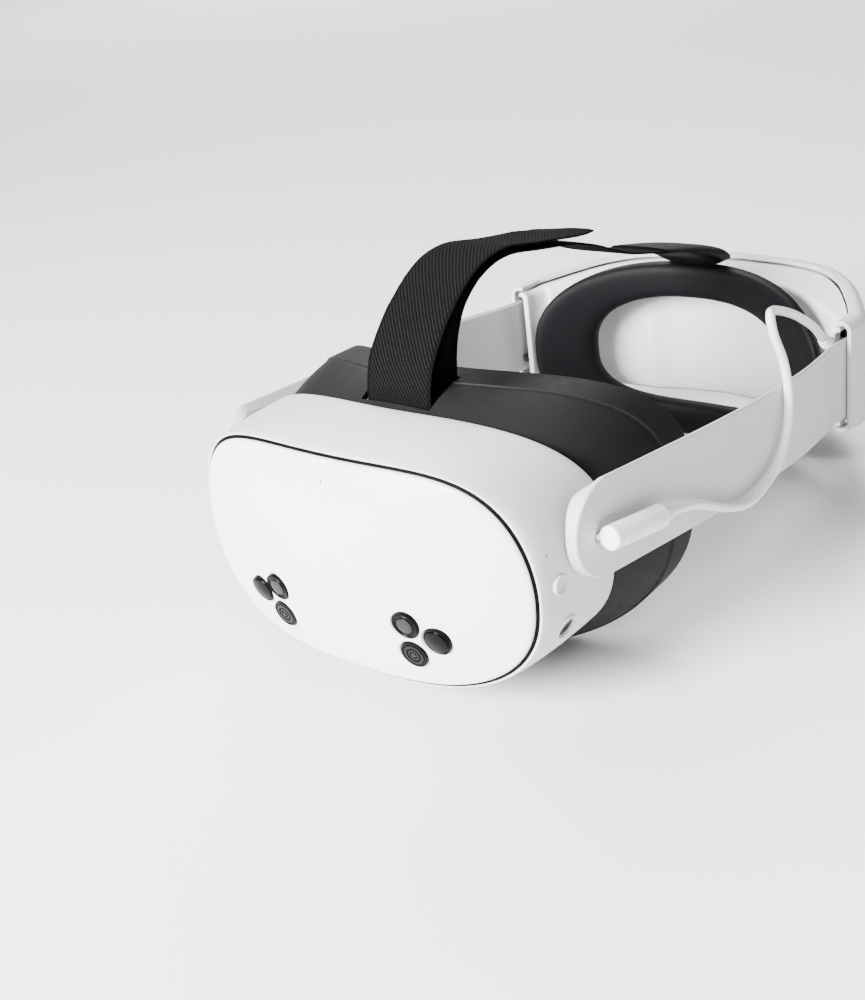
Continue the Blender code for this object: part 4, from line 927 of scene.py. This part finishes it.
def oval_groove():
    """The fine line round the charging port, as a closed tube to cut with."""
    centre, half, radius = Vector((0.0480, 0.0143)), 0.0026, 0.0060
    lean = Vector((1, ARM_SLOPE)).normalized()
    rise = Vector((-lean.y, lean.x))
    rings = []
    for c, s in turns(96, 0.5):
        middle = centre + lean * (math.copysign(half, c) + radius * c) + rise * radius * s
        out = lean * c + rise * s
        ring = []
        for across, deep in ((-0.00018, 0.002), (0.00018, 0.002), (0.00018, -0.0003), (-0.00018, -0.0003)):
            at = middle + out * across
            ring.append(Vector((arm_outer(at.x) + deep, at.x, at.y)))
        rings.append(ring)
    return loft(rings, around=True)


# ---------------------------------------------------------------- plug and cable
def plug():
    start, end = Vector(PLUG_START), Vector(PLUG_END)
    line = (end - start).normalized()
    body = (end - start).length
    cap = [(0.05, 0.0), (0.60, 0.0), (0.84, 0.00005), (0.93, 0.0003), (0.98, 0.0008), (1.0, 0.0014)]
    tail = [(1.0, -0.0030), (0.975, -0.0029), (0.975, -0.0026), (1.0, -0.0025), (1.0, -0.0016), (0.96, -0.0008),
            (0.86, -0.0002), (0.72, 0.0), (0.67, 0.0004), (0.67, 0.0010), (0.57, 0.0011), (0.57, 0.0016),
            (0.66, 0.0017), (0.65, 0.0027), (0.55, 0.0028), (0.55, 0.0033), (0.61, 0.0034), (0.56, 0.0044),
            (0.46, 0.0052), (0.1, 0.0052)]
    profile = cap + [(scale, body + along) for scale, along in tail]
    mesh = lathe([(PLUG_RADIUS * scale, along) for scale, along in profile], start, line, 72)
    tongue = rounded_bar(0.0084, 0.0026, 0.0060, (arm_outer(PORT_Y) + 0.0012, PORT_Y, PORT_Z))
    made = piece("charge_plug_body", carve(mesh, [tongue], "UNION"), PLUG, "charge_plug", 36)
    return made, start + line * (body + 0.0052 + GAP)


def tube(line, radius):
    """A round tube along a line, its section carried along without twist."""
    rings = []
    side = (line[1] - line[0]).orthogonal().normalized()
    for k, here in enumerate(line):
        ahead = (line[min(k + 1, len(line) - 1)] - line[max(k - 1, 0)]).normalized()
        side = (side - ahead * side.dot(ahead)).normalized()
        up = ahead.cross(side)
        rings.append([here + radius * (side * c + up * s) for c, s in turns(28)])
    return loft(rings)


def cable(start):
    line = spaced(smooth_line([start, *CABLE_ROUTE, CABLE_END], 12), 240)
    made = piece("charge_cable_cord", tube(line, CABLE_RADIUS), CABLE, "charge_cable", 60)
    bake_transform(made)


def cable_gland():
    """The ribbed boot where the cable goes in under the rear housing."""
    line = Vector((0, 0.8, -0.6)).normalized()
    profile = [(0.0021, GAP), (0.0024, 0.0003), (0.0027, 0.0010), (0.0027, 0.0016), (0.0024, 0.0017),
               (0.0024, 0.0022), (0.0029, 0.0023), (0.0030, 0.0034), (0.0026, 0.0035), (0.0026, 0.0040),
               (0.0032, 0.0041), (0.0034, 0.0056), (0.0034, 0.0080), (0.0010, 0.0080)]
    boot = lathe(profile, CABLE_END, line, 48)
    return piece("cable_gland_boot", boot, CABLE, "cable_gland", 40)


# ---------------------------------------------------------------- rear housing
def housing_line():
    half = smooth_line(HOUSING_PLAN, 9)
    return half + [Vector((-p.x, p.y)) for p in reversed(half[:-1])]


def inward_normals(line):
    normals = []
    for k in range(len(line)):
        ahead = line[min(k + 1, len(line) - 1)] - line[max(k - 1, 0)]
        normals.append(Vector((ahead.y, -ahead.x)).normalized())
    return [n if n.dot(Vector((0, 0.28)) - p) > 0 else -n for n, p in zip(normals, line)]


def half_height(point):
    return HOUSING_HALF[0] + (HOUSING_HALF[1] - HOUSING_HALF[0]) * ease(0, 0.080, point.y - MOUTH_Y)


def base_inset(point):
    reach = min(max((point.y - 0.268) / 0.070, 0.0), 1.0)
    return INNER_GAP_SIDE + (INNER_GAP_REAR - INNER_GAP_SIDE) * reach


def sweep_housing(profile_of):
    """Sweeps a closed (inset, height) profile round the rear, thinned to a soft edge at each mouth."""
    line = housing_line()
    normals = inward_normals(line)
    mouth = []
    for back, thin in ((0.0, 0.0005), (0.00025, 0.0001), (0.0006, 0.0)):
        mouth.append((line[0] + Vector((0, back)), normals[0], thin))
    stations = mouth + [(here, normal, 0.0) for here, normal in zip(line[1:-1], normals[1:-1])]
    stations += [(Vector((-p.x, p.y)), Vector((-n.x, n.y)), thin) for p, n, thin in reversed(mouth)]
    rings = []
    for here, normal, thin in stations:
        middle = arm_middle(here.y)
        ring = []
        for inset, height in profile_of(half_height(here), here, thin):
            place = here + normal * inset
            ring.append(Vector((place.x, place.y, middle + height)))
        rings.append(ring)
    return loft(rings)


def arc(centre, radius, start, end, steps):
    angles = [math.radians(start + (end - start) * k / steps) for k in range(steps + 1)]
    return [(centre[0] + radius * math.cos(a), centre[1] + radius * math.sin(a)) for a in angles]


def cover_profile(half, point, thin):
    """A channel section, open towards the head. Inset grows towards the head."""
    lip, w, r = min(0.0085, base_inset(point) - 0.0005), HOUSING_WALL, 0.0052
    outer = [(lip, half - thin - 0.0004), (lip - 0.0004, half - thin)]
    outer += arc((r + thin, half - r - thin), r, 90, 180, 8) + arc((r + thin, -half + r + thin), r, 180, 270, 8)
    outer += [(lip - 0.0004, -half + thin), (lip, -half + thin + 0.0004)]
    r = max(r - w, 0.001)
    w = w - thin
    inner = [(lip, -half + w - 0.0003), (lip - 0.0003, -half + w)] + arc((w + r, -half + w + r), r, 270, 180, 6)
    inner += arc((w + r, half - w - r), r, 180, 90, 6) + [(lip - 0.0003, half - w), (lip, half - w + 0.0003)]
    return outer + inner


def base_profile(half, point, thin):
    """The inner wall and its two lips, which close the channel towards the head."""
    back = base_inset(point) - thin
    half = half - HOUSING_WALL - 0.0010 - thin
    lip, w, r = 0.0090 if back > 0.012 else back - 0.0026, HOUSING_WALL - thin, 0.0034
    front = max(lip, HOUSING_WALL + 0.0010)
    r = min(r, max(back + w - front - 0.0006, 0.0008))
    outer = [(front, half)] + arc((back + w - r, half - r), r, 90, 0, 6)
    outer += arc((back + w - r, -half + r), r, 0, -90, 6) + [(front, -half)]
    s = min(0.0012, max(back - front, 0.0) * 0.4 + 0.0002)
    inner = [(front, -half + w), (back - s, -half + w), (back, -half + w + s), (back, half - w - s),
             (back - s, half - w), (front, half - w)]
    return outer + inner


def housing():
    cover = sweep_housing(cover_profile)
    place = (0, 0.352, arm_middle(DIAL_Y))
    cover = carve(cover, [cylinder(DIAL_RADIUS + 0.0006, 0.03, place, (0, 1, 0), 128)])
    cover = piece("housing_cover_shell", cover, SHELL_PAINTED_SHADE, "housing_cover", 32)
    base = piece("housing_base_shell", sweep_housing(base_profile), INNER, "housing_base", 32)
    return cover, base


def dial():
    middle = arm_middle(DIAL_Y)
    profile = [(0.02, 0.3592, 0), (0.30, 0.3590, 0), (0.62, 0.3584, 0), (0.80, 0.3586, 0), (0.88, 0.3591, 0.2),
               (0.94, 0.3588, 0.6), (0.972, 0.3578, 1), (0.975, 0.3566, 1), (0.975, 0.3492, 1),
               (0.965, 0.3478, 1), (0.90, 0.3470, 0.3), (0.5, 0.3470, 0), (0.02, 0.3470, 0)]
    rings = []
    for scale, y, tooth in profile:
        ring = []
        for k, (c, s) in enumerate(turns(320)):
            ridge = abs(math.cos(math.pi * DIAL_RIDGES * k / 320)) ** 0.6
            r = DIAL_RADIUS * (scale + 0.018 * tooth * (2 * ridge - 1))
            ring.append(Vector((r * c, y, middle + r * s)))
        rings.append(ring)
    return piece("fit_dial_knob", loft(rings), SHELL_PAINTED_SHADE, "fit_dial", 40)


def cradle_ring():
    rings = []
    for c, s in turns(40):
        t = 0.5 + 0.5 * powered(c, 3.2)
        depth = RING_Y + (0.46 + 0.53 * powered(s, 3.0)) * RING_THICK
        half = [a + (b - a) * t for a, b in zip(RING_HOLE, RING_HALF)]
        outline = superellipse((half[0], half[1], half[1]), RING_POWER)
        rings.append(swept_ring(outline, depth, -RING_SWEEP, RING_HALF[0], RING_Z))
    made = piece("cradle_ring_pad", loft(rings, around=True), RUBBER, "cradle_ring", 60)
    return made


# ---------------------------------------------------------------- assembly
def ride(body, *made):
    for one in made:
        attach(one, body)


def build():
    ride("visor", front_cover(), vent_gasket(), visor_shell(), *cameras(), face_cover())
    for body, key in zip(("power_key", "volume_key", "action_key"), buttons()):
        ride(body, key)
    straps()
    ride("left_arm", strap_arm(1, "left"))
    ride("right_arm", strap_arm(-1, "right"))
    plug_piece, cable_start = plug()
    ride("left_arm", plug_piece)
    cable(cable_start)
    ride("rear_unit", *housing(), cradle_ring(), strap_tab(), cable_gland())
    ride("dial_unit", dial())


def dress_cad():
    """Procedural finishes for the CAD pieces that show as they are."""
    # shell_white and arm_white take the darker plastics, which carry painted shade
    looks = {"steel": STEEL, "aluminium": ALUMINIUM, "board_green": BOARD, "cell_blue": CELL,
             "clear_lens": GLASS, "screen_black": SCREEN, "dark_plastic": DARK, "charcoal_silicone": RUBBER,
             "webbing": WEB, "cable_white": CABLE, "shell_white": SHELL_PAINTED_SHADE, "arm_white": ARM_PAINTED_SHADE, "cover_white": COVER,
             "black_rubber": VENT, "lens_black": LENS_BLACK}
    for node in frame["nodes"].values():
        for slot in node.material_slots:
            name = slot.material.name.split(".")[0]
            slot.link = "DATA"
            slot.material = looks[name]


dress_cad()
build()


# ---------------------------------------------------------------- floor, light, camera
VIEW_PLACE = (0.36299, -0.43625, 0.25762)
VIEW_TURN = (64.696, 7.037, 38.499)  # degrees about X, Y and Z
FLOOR_HEIGHT = -0.0652


def floor():
    look = Look("floor_paper", (0.90, 0.90, 0.90), 0.75)
    look.tint(look.noise(3, 3), (0.89, 0.89, 0.89), (0.91, 0.91, 0.91))
    look.bump(look.noise(500, 2), 0.1, 0.0001)
    bpy.ops.mesh.primitive_circle_add(vertices=96, radius=9.0, fill_type="NGON", location=(0, 0, FLOOR_HEIGHT))
    ground = bpy.context.object
    ground.name = "floor"
    ground.data.materials.append(look.material)


def area_light(name, place, target, size, power, color=(1, 1, 1)):
    data = bpy.data.lights.new(name, "AREA")
    data.shape, data.size, data.energy, data.color = "DISK", size, power, color
    made = bpy.data.objects.new(name, data)
    made.location = place
    made.rotation_euler = (Vector(target) - Vector(place)).to_track_quat("-Z", "Y").to_euler()
    bpy.context.scene.collection.objects.link(made)


def studio():
    world = bpy.data.worlds.new("studio")
    world.use_nodes = True
    world.node_tree.nodes["Background"].inputs["Color"].default_value = (1, 1, 1, 1)
    world.node_tree.nodes["Background"].inputs["Strength"].default_value = 0.15
    bpy.context.scene.world = world
    area_light("key", (-0.30, -1.55, 0.72), (0, -0.02, 0), 0.8, 190)
    area_light("side", (0.95, -0.80, 1.20), (0.05, 0.0, 0), 0.6, 12)
    area_light("top", (-0.3, 0.55, 1.5), (0, 0.08, 0), 1.0, 14)
    area_light("backdrop", (-2.6, 3.2, 3.0), (-2.4, 3.0, 0), 3.0, 330)


def camera():
    data = bpy.data.cameras.new("photo_view")
    data.lens, data.sensor_width = 50.16, 36
    data.clip_start, data.clip_end = 0.01, 100
    made = bpy.data.objects.new("photo_view", data)
    made.location = VIEW_PLACE
    made.rotation_euler = [math.radians(angle) for angle in VIEW_TURN]
    bpy.context.scene.collection.objects.link(made)
    bpy.context.scene.camera = made


floor()
studio()
camera()
